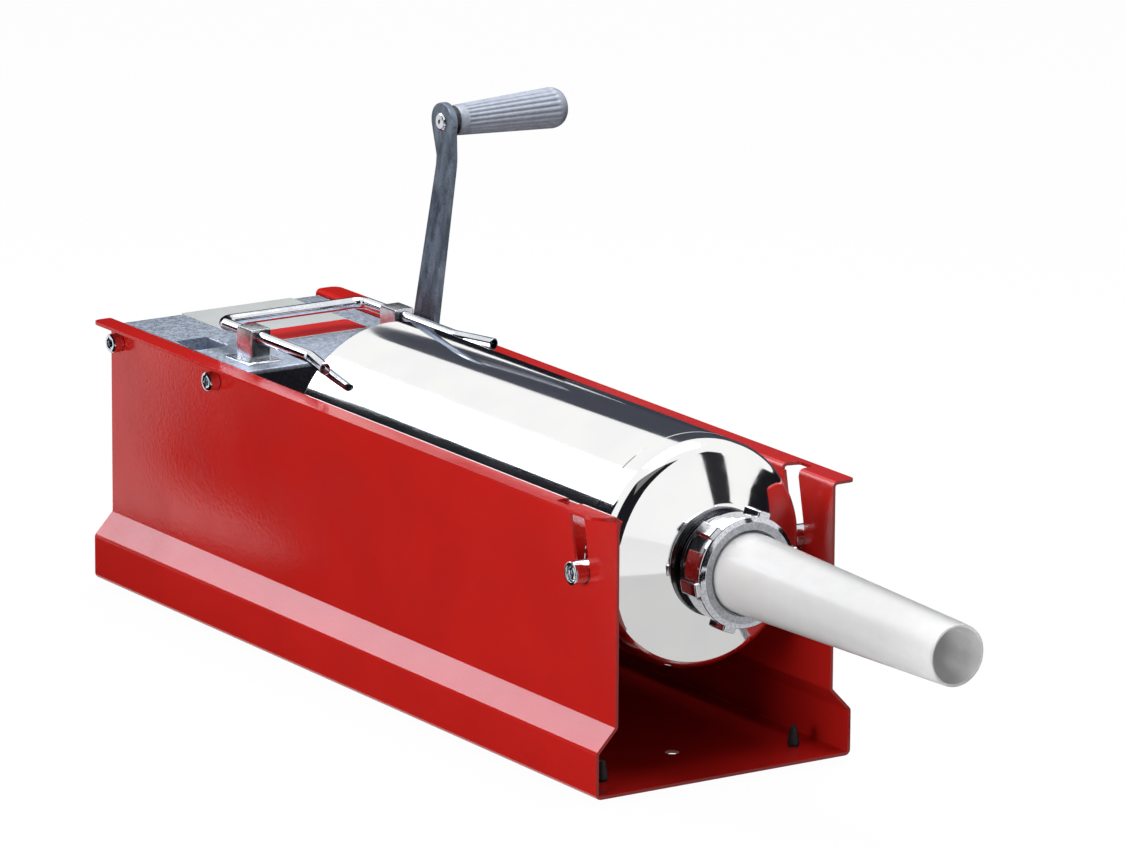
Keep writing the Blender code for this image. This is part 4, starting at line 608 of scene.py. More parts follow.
def ridge_tree() -> bpy.types.NodeTree:
    """Grooves or ridges around a turned piece: flutes, knurls and threads, with round ends."""
    tree, given = new_tree("ridges", {"Count": "Float", "Twist": "Float", "Spacing": "Float",
                                      "Depth": "Float", "Width": "Float", "Start": "Float",
                                      "End": "Float", "Outer": "Float", "Material": "Material"})
    take = given.outputs

    def maths(operation: str, first: object, second: object = 0.0) -> bpy.types.NodeSocket:
        """The result of a sum of two sockets or numbers."""
        pair = {0: first, 1: second}
        links = {k: v for k, v in pair.items() if isinstance(v, bpy.types.NodeSocket)}
        numbers = {k: v for k, v in pair.items() if k not in links}
        return add_node(tree, "ShaderNodeMath", {"operation": operation, **numbers},
                        links).outputs["Value"]

    spot = add_node(tree, "GeometryNodeInputPosition").outputs["Position"]
    part = add_node(tree, "ShaderNodeSeparateXYZ", {}, {"Vector": spot}).outputs
    angle = maths("ARCTAN2", part["Y"], part["X"])
    turns = maths("MULTIPLY", maths("DIVIDE", angle, math.tau), take["Count"])
    phase = maths("ADD", turns, maths("MULTIPLY", part["Z"], take["Twist"]))
    aside = maths("MULTIPLY", maths("ABSOLUTE", maths("SUBTRACT", phase, maths("ROUND", phase))),
                  take["Spacing"])
    past = maths("MAXIMUM", maths("MAXIMUM", maths("SUBTRACT", take["Start"], part["Z"]),
                                  maths("SUBTRACT", part["Z"], take["End"])), 0.0)
    away = maths("SQRT", maths("ADD", maths("MULTIPLY", aside, aside), maths("MULTIPLY", past, past)))
    shift = add_node(tree, "ShaderNodeMapRange", {"interpolation_type": "SMOOTHSTEP",
                                                  "From Min": 0.0, "To Max": 0.0},
                     {"Value": away, "From Max": take["Width"], "To Min": take["Depth"]})
    flat = add_node(tree, "ShaderNodeCombineXYZ", {}, {"X": part["X"], "Y": part["Y"]}).outputs[0]
    reach = add_node(tree, "ShaderNodeVectorMath", {"operation": "LENGTH"}, {0: flat})
    outward = add_node(tree, "ShaderNodeVectorMath", {"operation": "NORMALIZE"}, {0: flat})
    push = add_node(tree, "ShaderNodeVectorMath", {"operation": "SCALE"},
                    {0: outward.outputs["Vector"], "Scale": shift.outputs["Result"]})
    outside = add_node(tree, "FunctionNodeCompare", {"operation": "GREATER_THAN"},
                       {0: reach.outputs["Value"], 1: take["Outer"]})
    moved = add_node(tree, "GeometryNodeSetPosition", {},
                     {"Geometry": take["Geometry"], "Selection": outside.outputs["Result"],
                      "Offset": push.outputs["Vector"]})
    close_tree(tree, given, moved.outputs["Geometry"])
    return tree


def seat_tree() -> bpy.types.NodeTree:
    """A copy of one piece on each point, along the point's facing and turned by its turn."""
    tree, given = new_tree("seats", {"Piece": "Object", "Material": "Material"})
    source = add_node(tree, "GeometryNodeObjectInfo", {}, {"Object": given.outputs["Piece"]})
    facing = add_node(tree, "GeometryNodeInputNamedAttribute",
                      {"data_type": "FLOAT_VECTOR", "Name": "facing"})
    turn = add_node(tree, "GeometryNodeInputNamedAttribute", {"data_type": "FLOAT", "Name": "turn"})
    aim = add_node(tree, "FunctionNodeAlignRotationToVector", {"axis": "Z"},
                   {"Vector": facing.outputs["Attribute"]})
    spin = add_node(tree, "FunctionNodeAxisAngleToRotation", {"Axis": (0.0, 0.0, 1.0)},
                    {"Angle": turn.outputs["Attribute"]})
    both = add_node(tree, "FunctionNodeRotateRotation", {"rotation_space": "LOCAL"},
                    {"Rotation": aim.outputs["Rotation"], "Rotate By": spin.outputs["Rotation"]})
    copies = add_node(tree, "GeometryNodeInstanceOnPoints", {},
                      {"Points": given.outputs["Geometry"], "Instance": source.outputs["Geometry"],
                       "Rotation": both.outputs["Rotation"]})
    close_tree(tree, given, copies.outputs["Instances"])
    return tree


def crown_tree() -> bpy.types.NodeTree:
    """Copies of one piece evenly around the Z axis, with what they stand on."""
    tree, given = new_tree("crown", {"Piece": "Object", "Count": "Int", "First": "Float",
                                     "Material": "Material"})
    take = given.outputs
    source = add_node(tree, "GeometryNodeObjectInfo", {}, {"Object": take["Piece"]})
    spots = add_node(tree, "GeometryNodeMeshLine", {"Offset": (0.0, 0.0, 0.0)},
                     {"Count": take["Count"]})
    index = add_node(tree, "GeometryNodeInputIndex")
    step = add_node(tree, "ShaderNodeMath", {"operation": "DIVIDE", 0: math.tau},
                    {1: take["Count"]})
    angle = add_node(tree, "ShaderNodeMath", {"operation": "MULTIPLY_ADD"},
                     {0: index.outputs["Index"], 1: step.outputs["Value"], 2: take["First"]})
    turn = add_node(tree, "ShaderNodeCombineXYZ", {}, {"Z": angle.outputs["Value"]})
    copies = add_node(tree, "GeometryNodeInstanceOnPoints", {},
                      {"Points": spots.outputs["Mesh"], "Instance": source.outputs["Geometry"],
                       "Rotation": turn.outputs["Vector"]})
    both = add_node(tree, "GeometryNodeJoinGeometry")
    tree.links.new(take["Geometry"], both.inputs["Geometry"])
    tree.links.new(copies.outputs["Instances"], both.inputs["Geometry"])
    close_tree(tree, given, both.outputs["Geometry"])
    return tree


@dataclass
class Trees:
    """The Geometry Nodes trees, made once."""

    ridges: bpy.types.NodeTree = field(default_factory=ridge_tree)
    seats: bpy.types.NodeTree = field(default_factory=seat_tree)
    crown: bpy.types.NodeTree = field(default_factory=crown_tree)


@dataclass
class Seat:
    """Where a copy of a repeated piece sits."""

    at: Vector
    axis: Axis
    turn: float = 0.0


def seated(mesh: bpy.types.Mesh, seats: Sequence[Seat], tree: bpy.types.NodeTree, finish: Finish,
           ) -> bpy.types.Mesh:
    """Copy a piece to each of its seats.

    Args:
        mesh: the piece, standing along local Z on the origin.
        seats: the places.
        tree: the tree that copies.
        finish: the copies' finish.

    Returns:
        One mesh with all copies.
    """
    source = bpy.data.objects.new("source", mesh)
    bpy.context.scene.collection.objects.link(source)
    spots = bpy.data.meshes.new(mesh.name)
    spots.from_pydata([seat.at for seat in seats], [], [])
    spots.attributes.new("facing", "FLOAT_VECTOR", "POINT")
    spots.attributes.new("turn", "FLOAT", "POINT")
    for i, seat in enumerate(seats):
        spots.attributes["facing"].data[i].vector = seat.axis.value
        spots.attributes["turn"].data[i].value = seat.turn
    name = mesh.name
    made = grown(spots, tree, {"Piece": source, "Material": finish.material()})
    bpy.data.objects.remove(source)
    bpy.data.meshes.remove(mesh)
    made.name = name
    return made


# Sub-assemblies
@dataclass
class Chassis:
    """The folded sheet, its rubber feet and the saddle that is riveted to its floor."""

    trees: Trees
    edge: float = 0.0005
    saddle_edge: float = 0.0003
    rivet_edge: float = 0.0002
    pad_dish: float = 0.0004
    pad_round: float = 0.001
    stem_radius: float = 0.0029
    barb_radius: float = 0.004
    barb_round: float = 0.0008
    neck_height: float = 0.0072
    barb_low: float = 0.0080

    def build(self) -> None:
        """Make the sheet, the feet and the saddle."""
        refined("chassis", ENAMEL, self.edge)
        refined("barrel_saddle", STEEL, self.saddle_edge)
        for side in ("near", "far"):
            refined("saddle_rivet_" + side, STEEL, self.rivet_edge)
        self._feet()

    def _feet(self) -> None:
        """Four push-in feet; their barbed stems stand up inside."""
        names = ["foot_%s_%s" % (end, side) for end in ("rear", "front") for side in ("near", "far")]
        low, high, _, half = span(names[0])
        tall, pad, stem = high.z - low.z, half.x, self.stem_radius
        top, dish, soft = -low.z - GAP, self.pad_dish, self.barb_round
        profile = rounded([(0, dish), (pad * 0.6, dish), (pad * 0.72, 0), (pad, 0),
                           (pad * 0.94, top), (stem, top), (stem, self.neck_height),
                           (self.barb_radius, self.barb_low), (stem * 0.7, tall), (0, tall)],
                          [0, dish, dish, self.pad_round, soft, TIGHT, TIGHT, soft, soft, 0])
        seats = []
        for name in names:
            foot_low, _, middle, _ = span(name)
            seats.append(Seat(Vector((middle.x, middle.y, foot_low.z)), Axis.UP))
        mesh = seated(turned("rubber_feet", profile, 48), seats, self.trees.seats, RUBBER)
        piece(mesh, RUBBER, "root", *names)


@dataclass
class Gearbox:
    """The casting with its pocket and lugs, its label, its closing plate and its screws."""

    trees: Trees
    edge: float = 0.0007
    head_chamfer: float = 0.0007
    socket: float = 0.0029
    socket_depth: float = 0.0035
    knurls: int = 36
    knurl_depth: float = -0.00028
    top_under_flange: float = 0.0025
    label_from_rear: float = 0.001
    label_length: float = 0.098
    label_near: float = -0.030
    label_far: float = 0.054
    label_thickness: float = 0.0004
    band_length: float = 0.027
    band_inset: float = 0.0015
    label_round: float = 0.002
    pocket_rear: float = 0.066
    pocket_length: float = 0.033
    pocket_near: float = 0.002
    pocket_width: float = 0.029
    rim_angle: float = 0.5
    rim_width: float = 0.0019
    rim_segments: int = 3
    rim_tolerance: float = 0.0001
    cover_edge: float = 0.0004
    wall_head: float = 0.0072
    wall_turns: tuple[float, float] = (0.3, 0.9)
    cover_head: float = 0.003
    cover_turn: float = 0.7
    cover_lift: float = 0.0002
    cover_round: float = 0.0012
    label_gap: float = 0.00005

    def build(self) -> None:
        """Make the casting and what is fixed to it."""
        level = self._top_level() + TINY
        front = span("gearbox_housing")[1].x - TINY
        housing = refined("gearbox_housing", CASTING, self.edge, self._soft_pocket())
        refinish_faces(housing, BRIGHT_CASTING, lambda face: face.center.z > level, edges=True)
        # The front face gets a darker copy of the casting finish: painted shade.
        refinish_faces(housing, CASTING_FRONT_SHADE, lambda face: face.center.x > front)
        refined("gearbox_cover", CASTING, self.cover_edge)
        self._wall_screws()
        self._cover_screws()
        self._label()

    def _top_level(self) -> float:
        """The height of the casting's top face."""
        return span("chassis")[1].z - self.top_under_flange

    def _soft_pocket(self) -> bmesh.types.BMesh:
        """A copy of the casting whose pocket has a wide, soft rim."""
        work = merged_copy("gearbox_housing")
        low = span("gearbox_housing")[0]
        level = self._top_level()
        rear, near = low.x + self.pocket_rear, low.y + self.pocket_near
        rim = [edge for edge in work.edges
               if edge.calc_face_angle(0) > self.rim_angle
               and all(abs(vert.co.z - level) < self.rim_tolerance
                       and rear < vert.co.x < rear + self.pocket_length
                       and near < vert.co.y < near + self.pocket_width for vert in edge.verts)]
        bmesh.ops.bevel(work, geom=rim, offset=self.rim_width, segments=self.rim_segments,
                        affect="EDGES", profile=0.5)
        return work

    def _screw_head(self, name: str, radius: float, height: float) -> bpy.types.Mesh:
        """A knurled socket-head screw, seated on z = 0.

        Args:
            name: the mesh's name.
            radius: of the head.
            height: of the head.

        Returns:
            The head's mesh.
        """
        cut = self.head_chamfer
        sides = [(radius, height * i / 8) for i in range(1, 7)]
        profile: list[Ring] = [(0, 0.0001), (radius - cut / 2, 0.0001), (radius, cut / 2), *sides,
                               (radius, height - cut), (radius - cut * 0.45, height - cut * 0.3),
                               (radius - cut * 1.2, height), (self.socket + cut * 0.8, height),
                               (self.socket + cut * 0.25, height - cut * 0.35, 6),
                               (self.socket, height - cut, 6),
                               (self.socket, height - self.socket_depth, 6),
                               (0, height - self.socket_depth - self.socket * 0.4)]
        mesh = turned(name, profile, self.knurls * 4)
        spacing = math.tau * radius / self.knurls
        return grown(mesh, self.trees.ridges,
                     {"Count": float(self.knurls), "Twist": 0.0, "Spacing": spacing,
                      "Depth": self.knurl_depth, "Width": spacing / 2, "Start": height * 0.2,
                      "End": height * 0.72, "Outer": radius * 0.97,
                      "Material": CHROME.material()})

    def _wall_screws(self) -> None:
        """Four screws that hold the casting between the walls."""
        names, seats = [], []
        for side in Side:
            for end, turn in zip(("rear", "front"), self.wall_turns):
                name = "housing_screw_%s_%s" % (end, side.name.lower())
                low, high, middle, half = span(name)
                face = (high.y if side is Side.FAR else low.y) - side.value * self.wall_head
                names.append(name)
                seats.append(Seat(Vector((middle.x, face, middle.z)), out_of(side), turn))
        head = self._screw_head("wall_screws", max(half.x, half.z), self.wall_head)
        piece(seated(head, seats, self.trees.seats, CHROME), CHROME, "root", *names)

    def _cover_screws(self) -> None:
        """Four pan-head screws under the closing plate."""
        names, seats = [], []
        for number in range(1, 5):
            name = "cover_screw_%d" % number
            low, _, middle, half = span(name)
            names.append(name)
            seats.append(Seat(Vector((middle.x, middle.y, low.z + self.cover_head)), Axis.DOWN,
                              number * self.cover_turn))
        radius, tall, lift = max(half.x, half.y), self.cover_head, self.cover_lift
        profile = rounded([(0, lift), (radius, lift), (radius, tall), (radius * 0.45, tall)],
                          [0, 0, self.cover_round, 0])
        socket: Profile = [(radius * 0.45, tall - GAP, 6), (radius * 0.42, tall * 0.35, 6),
                           (0, tall * 0.3)]
        mesh = seated(turned("cover_screws", [*profile, *socket], 48), seats, self.trees.seats,
                      CHROME)
        piece(mesh, CHROME, "root", *names)

    def _label(self) -> None:
        """A bare foil plate on the casting's top, with a plain red band."""
        level = self._top_level()
        rear = span("gearbox_housing")[0].x + self.label_from_rear
        front = rear + self.label_length
        self._plate("label_plate", (rear, front), (self.label_near, self.label_far), level, FOIL)
        inset = self.band_inset
        self._plate("label_band", (front - self.band_length, front - inset),
                    (self.label_near + inset, self.label_far - inset),
                    level + self.label_thickness, RED_FOIL)

    def _plate(self, name: str, x: tuple[float, float], y: tuple[float, float], level: float,
               finish: Finish) -> None:
        """A thin plate with round corners on a level face.

        Args:
            name: the piece's name.
            x: where it starts and ends along the machine.
            y: where it starts and ends across it.
            level: the height of the face.
            finish: what it is made of.
        """
        corners = [(x[0], y[0]), (x[1], y[0]), (x[1], y[1]), (x[0], y[1])]
        middle = ((x[0] + x[1]) / 2, y[0])
        loop = [middle, corners[1], corners[2], corners[3], corners[0], middle]
        line = rounded(loop, [0] + [self.label_round] * 4 + [0])[:-1]
        work = bmesh.new()
        base = [work.verts.new((px, py, level + self.label_gap)) for px, py in line]
        floor = work.faces.new(base)
        raised = bmesh.ops.extrude_face_region(work, geom=[floor])["geom"]
        verts = [v for v in raised if isinstance(v, bmesh.types.BMVert)]
        bmesh.ops.translate(work, verts=verts, vec=(0, 0, self.label_thickness))
        bmesh.ops.recalc_face_normals(work, faces=work.faces)
        piece(finished_mesh(work, name), finish, "root")


@dataclass
class Bail:
    """The sliding U of chromed tube, with open ends that splay outwards."""

    radius: float = 0.0039
    bore: float = 0.0029
    bore_depth: float = 0.012
    corner: float = 0.009
    end_length: float = 0.033
    end_angle: float = math.radians(16)
    bend_radius: float = 0.020
    sides: int = 32

    def build(self) -> None:
        """Sweep the tube along its path."""
        low, high, middle, _ = span("lock_bail")
        bar = low.x + self.radius
        spread = high.y - self.radius * math.cos(self.end_angle) \
            - self.end_length * math.sin(self.end_angle)
        tip = high.x - self.radius * math.sin(self.end_angle)
        straight = tip - self.end_length * math.cos(self.end_angle)
        half = rounded([(bar, 0), (bar, spread), (straight, spread),
                        (tip, spread + self.end_length * math.sin(self.end_angle))],
                       [0, self.corner, self.bend_radius, 0], 10)
        path = [Vector((x, -y, middle.z)) for x, y in half[:0:-1]]
        path += [Vector((x, y, middle.z)) for x, y in half[1:]]
        piece(self._sweep(path), CHROME, "bail", "lock_bail")

    def _sweep(self, path: list[Vector]) -> bpy.types.Mesh:
        """A tube along a level path, bored at both ends.

        Args:
            path: the points of its middle line.

        Returns:
            One closed mesh.
        """
        work = bmesh.new()
        last = len(path) - 1
        edge = (self.radius - self.bore) / 3
        stations: list[tuple[Vector, Vector, float]] = []
        ahead = [(path[min(i + 1, last)] - path[max(i - 1, 0)]).normalized() for i in range(last + 1)]
        first, end = ahead[0], ahead[last]
        stations += [(path[0] + first * self.bore_depth, first, 0.0),
                     (path[0] + first * self.bore_depth, first, self.bore),
                     (path[0], first, self.bore), (path[0], first, self.radius - edge),
                     (path[0] + first * edge, first, self.radius)]
        stations += [(path[i], ahead[i], self.radius) for i in range(1, last)]
        stations += [(path[last] - end * edge, end, self.radius), (path[last], end, self.radius - edge),
                     (path[last], end, self.bore),
                     (path[last] - end * self.bore_depth, end, self.bore),
                     (path[last] - end * self.bore_depth, end, 0.0)]
        rows = []
        for centre, along, radius in stations:
            if radius <= 0:
                rows.append([work.verts.new(centre)])
                continue
            across = along.cross(Vector((0, 0, 1)))
            rows.append([work.verts.new(centre + radius * (across * math.cos(a)
                                                           + Vector((0, 0, math.sin(a)))))
                         for a in (math.tau * i / self.sides for i in range(self.sides))])
        for low, high in zip(rows, rows[1:]):
            for i in range(self.sides):
                j = (i + 1) % self.sides
                corners = [low[i % len(low)], low[j % len(low)], high[j % len(high)],
                           high[i % len(high)]]
                work.faces.new(dict.fromkeys(corners))
        bmesh.ops.recalc_face_normals(work, faces=work.faces)
        return finished_mesh(work, "bail_tube")


@dataclass
class Barrel:
    """Polished tube, spun cap, and the trunnion sleeves with their sunk screws."""

    wall: float = 0.0012
    seam_edge: float = 0.0003
    cap_round: float = 0.012
    dome_rise: float = 0.014
    dome_bulge: float = 0.0003
    dome_steps: int = 12
    collar_radius: float = 0.0335
    neck_radius: float = 0.030
    sink_radius: float = 0.0052
    sink: float = 0.0035
    bore: float = 0.0033
    screw_head: float = 0.0048
    screw_socket: float = 0.0023
    screw_depth: float = 0.0006
    sleeve_edge: float = 0.0009

    def build(self) -> None:
        """Make the tube, the cap and the trunnions."""
        low, high, middle, half = span("barrel_tube")
        self._tube(Vector((low.x, middle.y, middle.z)), high.x - low.x, half.z)
        cap_low, cap_high, _, _ = span("barrel_cap")
        self._cap(Vector((cap_low.x, middle.y, middle.z)), cap_high.x - cap_low.x, half.z)
        for side in Side:
            self._trunnion(side)

    def _tube(self, at: Vector, length: float, radius: float) -> None:
        """The rolled and welded tube with its broken rear edge.

        Args:
            at: the middle of its rear end.
            length: of the tube.
            radius: of its outside.
        """
        edge, bore = self.seam_edge, radius - self.wall
        profile = rounded([(bore, length / 2), (bore, 0), (radius, 0), (radius, length - edge),
                           (radius - edge, length), (bore, length), (bore, length / 2)],
                          [0, SLIGHT, 0.0005, 0, 0, 0, 0])
        mesh = turned("barrel_tube_polished", profile[:-1], 256, ring=True)
        piece(standing(mesh, at, Axis.FORWARD), STAINLESS, "root", "barrel_tube")

    def _cap(self, at: Vector, length: float, radius: float) -> None:
        """The spun cap: a short skirt, a widely rounded rim and a dome.

        Args:
            at: the middle of its rear end.
            length: over the dome.
            radius: of its outside.
        """
        rim, wall, edge = length - self.dome_rise, self.wall, self.seam_edge
        hub = self.collar_radius - 0.0005
        dome = self._dome(radius, rim, hub)
        outer = rounded([(radius - edge, 0), (radius, edge), (radius, rim), dome[2]],
                        [0, 0, self.cap_round, 0], 14)
        hole = self.neck_radius + GAP
        outer += dome[3:] + [(hole, length)]
        inner = [(max(r - wall, hole), h - wall * 0.8)
                 for r, h in outer[2:]][::-1] + [(radius - wall, 0)]
        mesh = turned("barrel_cap_polished", outer + inner, 256, ring=True)
        piece(standing(mesh, at, Axis.FORWARD), STAINLESS, "root", "barrel_cap")

    def _dome(self, radius: float, rim: float, hub: float) -> list[tuple[float, float]]:
        """The dome's section from inside the rim to the collar, bulged a little.

        Args:
            radius: of the cap.
            rim: the height at which the dome starts.
            hub: the radius at which it ends.

        Returns:
            The points, as radius and height.
        """
        points = []
        for i in range(1, self.dome_steps + 1):
            share = i / self.dome_steps
            bulge = self.dome_bulge * math.sin(math.pi * share)
            points.append((radius + (hub - radius) * share, rim + self.dome_rise * share + bulge))
        return points

    def _trunnion(self, side: Side) -> None:
        """A turned sleeve in its slot, and the screw sunk in its face."""
        name = side.name.lower()
        low, high, middle, half = span("trunnion_" + name)
        radius, length = max(half.x, half.z), high.y - low.y
        start = Vector((middle.x, low.y if side is Side.FAR else high.y, middle.z))
        edge, seat, shank = self.sleeve_edge, length - self.sink, self.bore - GAP
        profile = rounded([(self.bore, 0), (radius, 0), (radius, length), (self.sink_radius, length),
                           (self.sink_radius, seat), (self.bore, seat)],
                          [0, GAP, edge, SLIGHT, TIGHT, 0], 3)
        piece(standing(turned("trunnion_sleeve_" + name, profile, 72, ring=True), start,
                       out_of(side)), NUT_PLATE, "root", "trunnion_" + name)
        head, flat = self.screw_head, self.screw_socket
        top, base = length - self.screw_depth, seat + GAP
        screw: Profile = [(0, SLIGHT), (shank, SLIGHT), (shank, base), (head, base),
                          (head, top - edge), (head * 0.8, top - TIGHT),
                          (flat + 0.0008, top), (flat + TIGHT, top - TIGHT, 6),
                          (flat, top - SOFT, 6), (flat, top - 0.0024, 6), (0, top - 0.003)]
        piece(standing(turned("trunnion_screw_head_" + name, screw, 72), start, out_of(side)),
              CHROME, "root", "trunnion_screw_" + name)


@dataclass
class Spout:
    """Threaded neck, ring nut with its lugs, and the filling nozzle."""

    trees: Trees
    neck_radius: float = 0.030
    neck_wall: float = 0.004
    collar_radius: float = 0.0335
    collar: float = 0.003
    neck_sunk: float = -0.0015
    pitch: float = 0.003
    thread_depth: float = 0.0014
    thread_steps: int = 60
    nut_radius: float = 0.0332
    nut_collar_radius: float = 0.0344
    nut_collar: float = 0.008
    nut_bevel: float = 0.0034
    nut_lip: float = 0.003
    lugs: int = 6
    lug_first: float = math.radians(10)
    lug_width: float = 0.009
    lug_inset: float = 0.0015
    lug_round: float = 0.0012
    nut_chamfer: float = 0.0012
    nozzle_flange: float = 0.003
    nozzle_base: float = 0.0247
    nozzle_tip: float = 0.0187
    nozzle_wall: float = 0.0018

    def build(self) -> None:
        """Make the three pieces."""
        self._neck()
        self._nut()
        self._nozzle()

    def _neck(self) -> None:
        """The neck with a right-hand thread of 3 mm pitch."""
        low, high, middle, _ = span("spout_neck")
        face = span("barrel_cap")[1].x
        start, end = low.x - face, high.x - face
        bore = self.neck_radius - self.neck_wall
        root = self.neck_radius - self.thread_depth
        collar, steps = GAP + self.collar, self.thread_steps
        thread = [(root, collar + SLIGHT + (end - collar - 0.0018) * i / steps)
                  for i in range(steps + 1)]
        wide, neck = self.collar_radius, self.neck_radius
        profile: Profile = [(bore, end), (bore, start), (wide, start), (wide, self.neck_sunk),
                            (neck, self.neck_sunk), (neck, GAP), (wide - SLIGHT, GAP),
                            (wide, 0.0007), (wide, collar - SOFT), (wide - SOFT, collar),
                            (root + GAP, collar), *thread, (root - 0.0008, end)]
        mesh = turned("threaded_neck", profile, 192, ring=True)
        # The neck's finish is darkened: a painted dark reflection.
        mesh = grown(mesh, self.trees.ridges,
                     {"Count": 1.0, "Twist": -1 / self.pitch, "Spacing": self.pitch,
                      "Depth": self.thread_depth, "Width": self.pitch * 0.46,
                      "Start": collar + self.pitch * 0.5, "End": end - self.pitch * 0.5,
                      "Outer": bore + 0.001, "Material": NECK_DARKENED_STEEL.material()})
        at = Vector((face, middle.y, middle.z))
        piece(standing(mesh, at, Axis.FORWARD), NECK_DARKENED_STEEL, "root", "spout_neck")

    def _nut(self) -> None:
        """The plated nut: a wide bevelled front, and six gripping lugs."""
        low, high, _, half = span("ring_nut")
        length = high.x - low.x
        bore, hole = self.neck_radius + 2 * GAP, self.nozzle_base + 2 * GAP
        wide, slim, bevel = self.nut_collar_radius, self.nut_radius, self.nut_bevel
        cut, lip = self.nut_chamfer, self.nut_lip
        corners = [(bore, length / 2), (bore, 0), (slim, 0), (slim, length - self.nut_collar - 0.001),
                   (wide, length - self.nut_collar), (wide, length - bevel * 0.5),
                   (wide - bevel, length), (hole + cut, length), (hole, length - cut),
                   (hole, length - lip), (bore, length - lip), (bore, length / 2)]
        profile = rounded(corners, [0, GAP, SOFT, GAP, 0.0005, 0.0016, 0.0008, SLIGHT, SLIGHT,
                                    0, 0, 0], 5)
        body = turned("ring_nut_plated", profile[:-1], 180, ring=True)
        tip = max(half.y, half.z)
        work = bmesh.new()
        bmesh.ops.create_cube(work, size=1.0)
        inner = slim - self.lug_inset
        sizes = (tip - inner, self.lug_width, length - 2 * self.lug_inset)
        bmesh.ops.scale(work, verts=work.verts, vec=sizes)
        bmesh.ops.bevel(work, geom=work.edges[:], offset=self.lug_round, segments=3,
                        affect="EDGES", profile=0.5)
        bmesh.ops.translate(work, verts=work.verts, vec=((tip + inner) / 2, 0, length / 2))
        lug = bpy.data.objects.new("lug", finished_mesh(work, "lug"))
        bpy.context.scene.collection.objects.link(lug)
        mesh = grown(body, self.trees.crown, {"Piece": lug, "Count": self.lugs,
                                              "First": self.lug_first,
                                              "Material": NUT_PLATE.material()})
        bpy.data.objects.remove(lug)
        nut = stood(mesh, Axis.FORWARD, NUT_PLATE, "ring_nut", "ring_nut")
        refinish_faces(nut, NUT_FACE,
               lambda face: face.center.x > high.x - TIGHT and face.normal.x > FACING)

    def _nozzle(self) -> None:
        """The tapered filling tube with its flange and softly rounded mouth."""
        low, high, _, half = span("nozzle")
        length, wall = high.x - low.x, self.nozzle_wall
        base, tip, root = self.nozzle_base, self.nozzle_tip, self.nozzle_flange
        corners = [(base - wall, root), (base - wall, 0), (half.z, 0), (half.z, root), (base, root),
                   (base, root * 2), (tip, length), (tip - wall, length), (base - wall, root * 2),
                   (base - wall, root)]
        profile = rounded(corners, [0, 0.0005, SOFT, SOFT, 0.0008, 0.004, 0.0009, SOFT, 0, 0])
        mesh = turned("filling_nozzle", profile[:-1], 192, ring=True)
        stood(mesh, Axis.FORWARD, POLYTHENE, "nozzle", "nozzle")


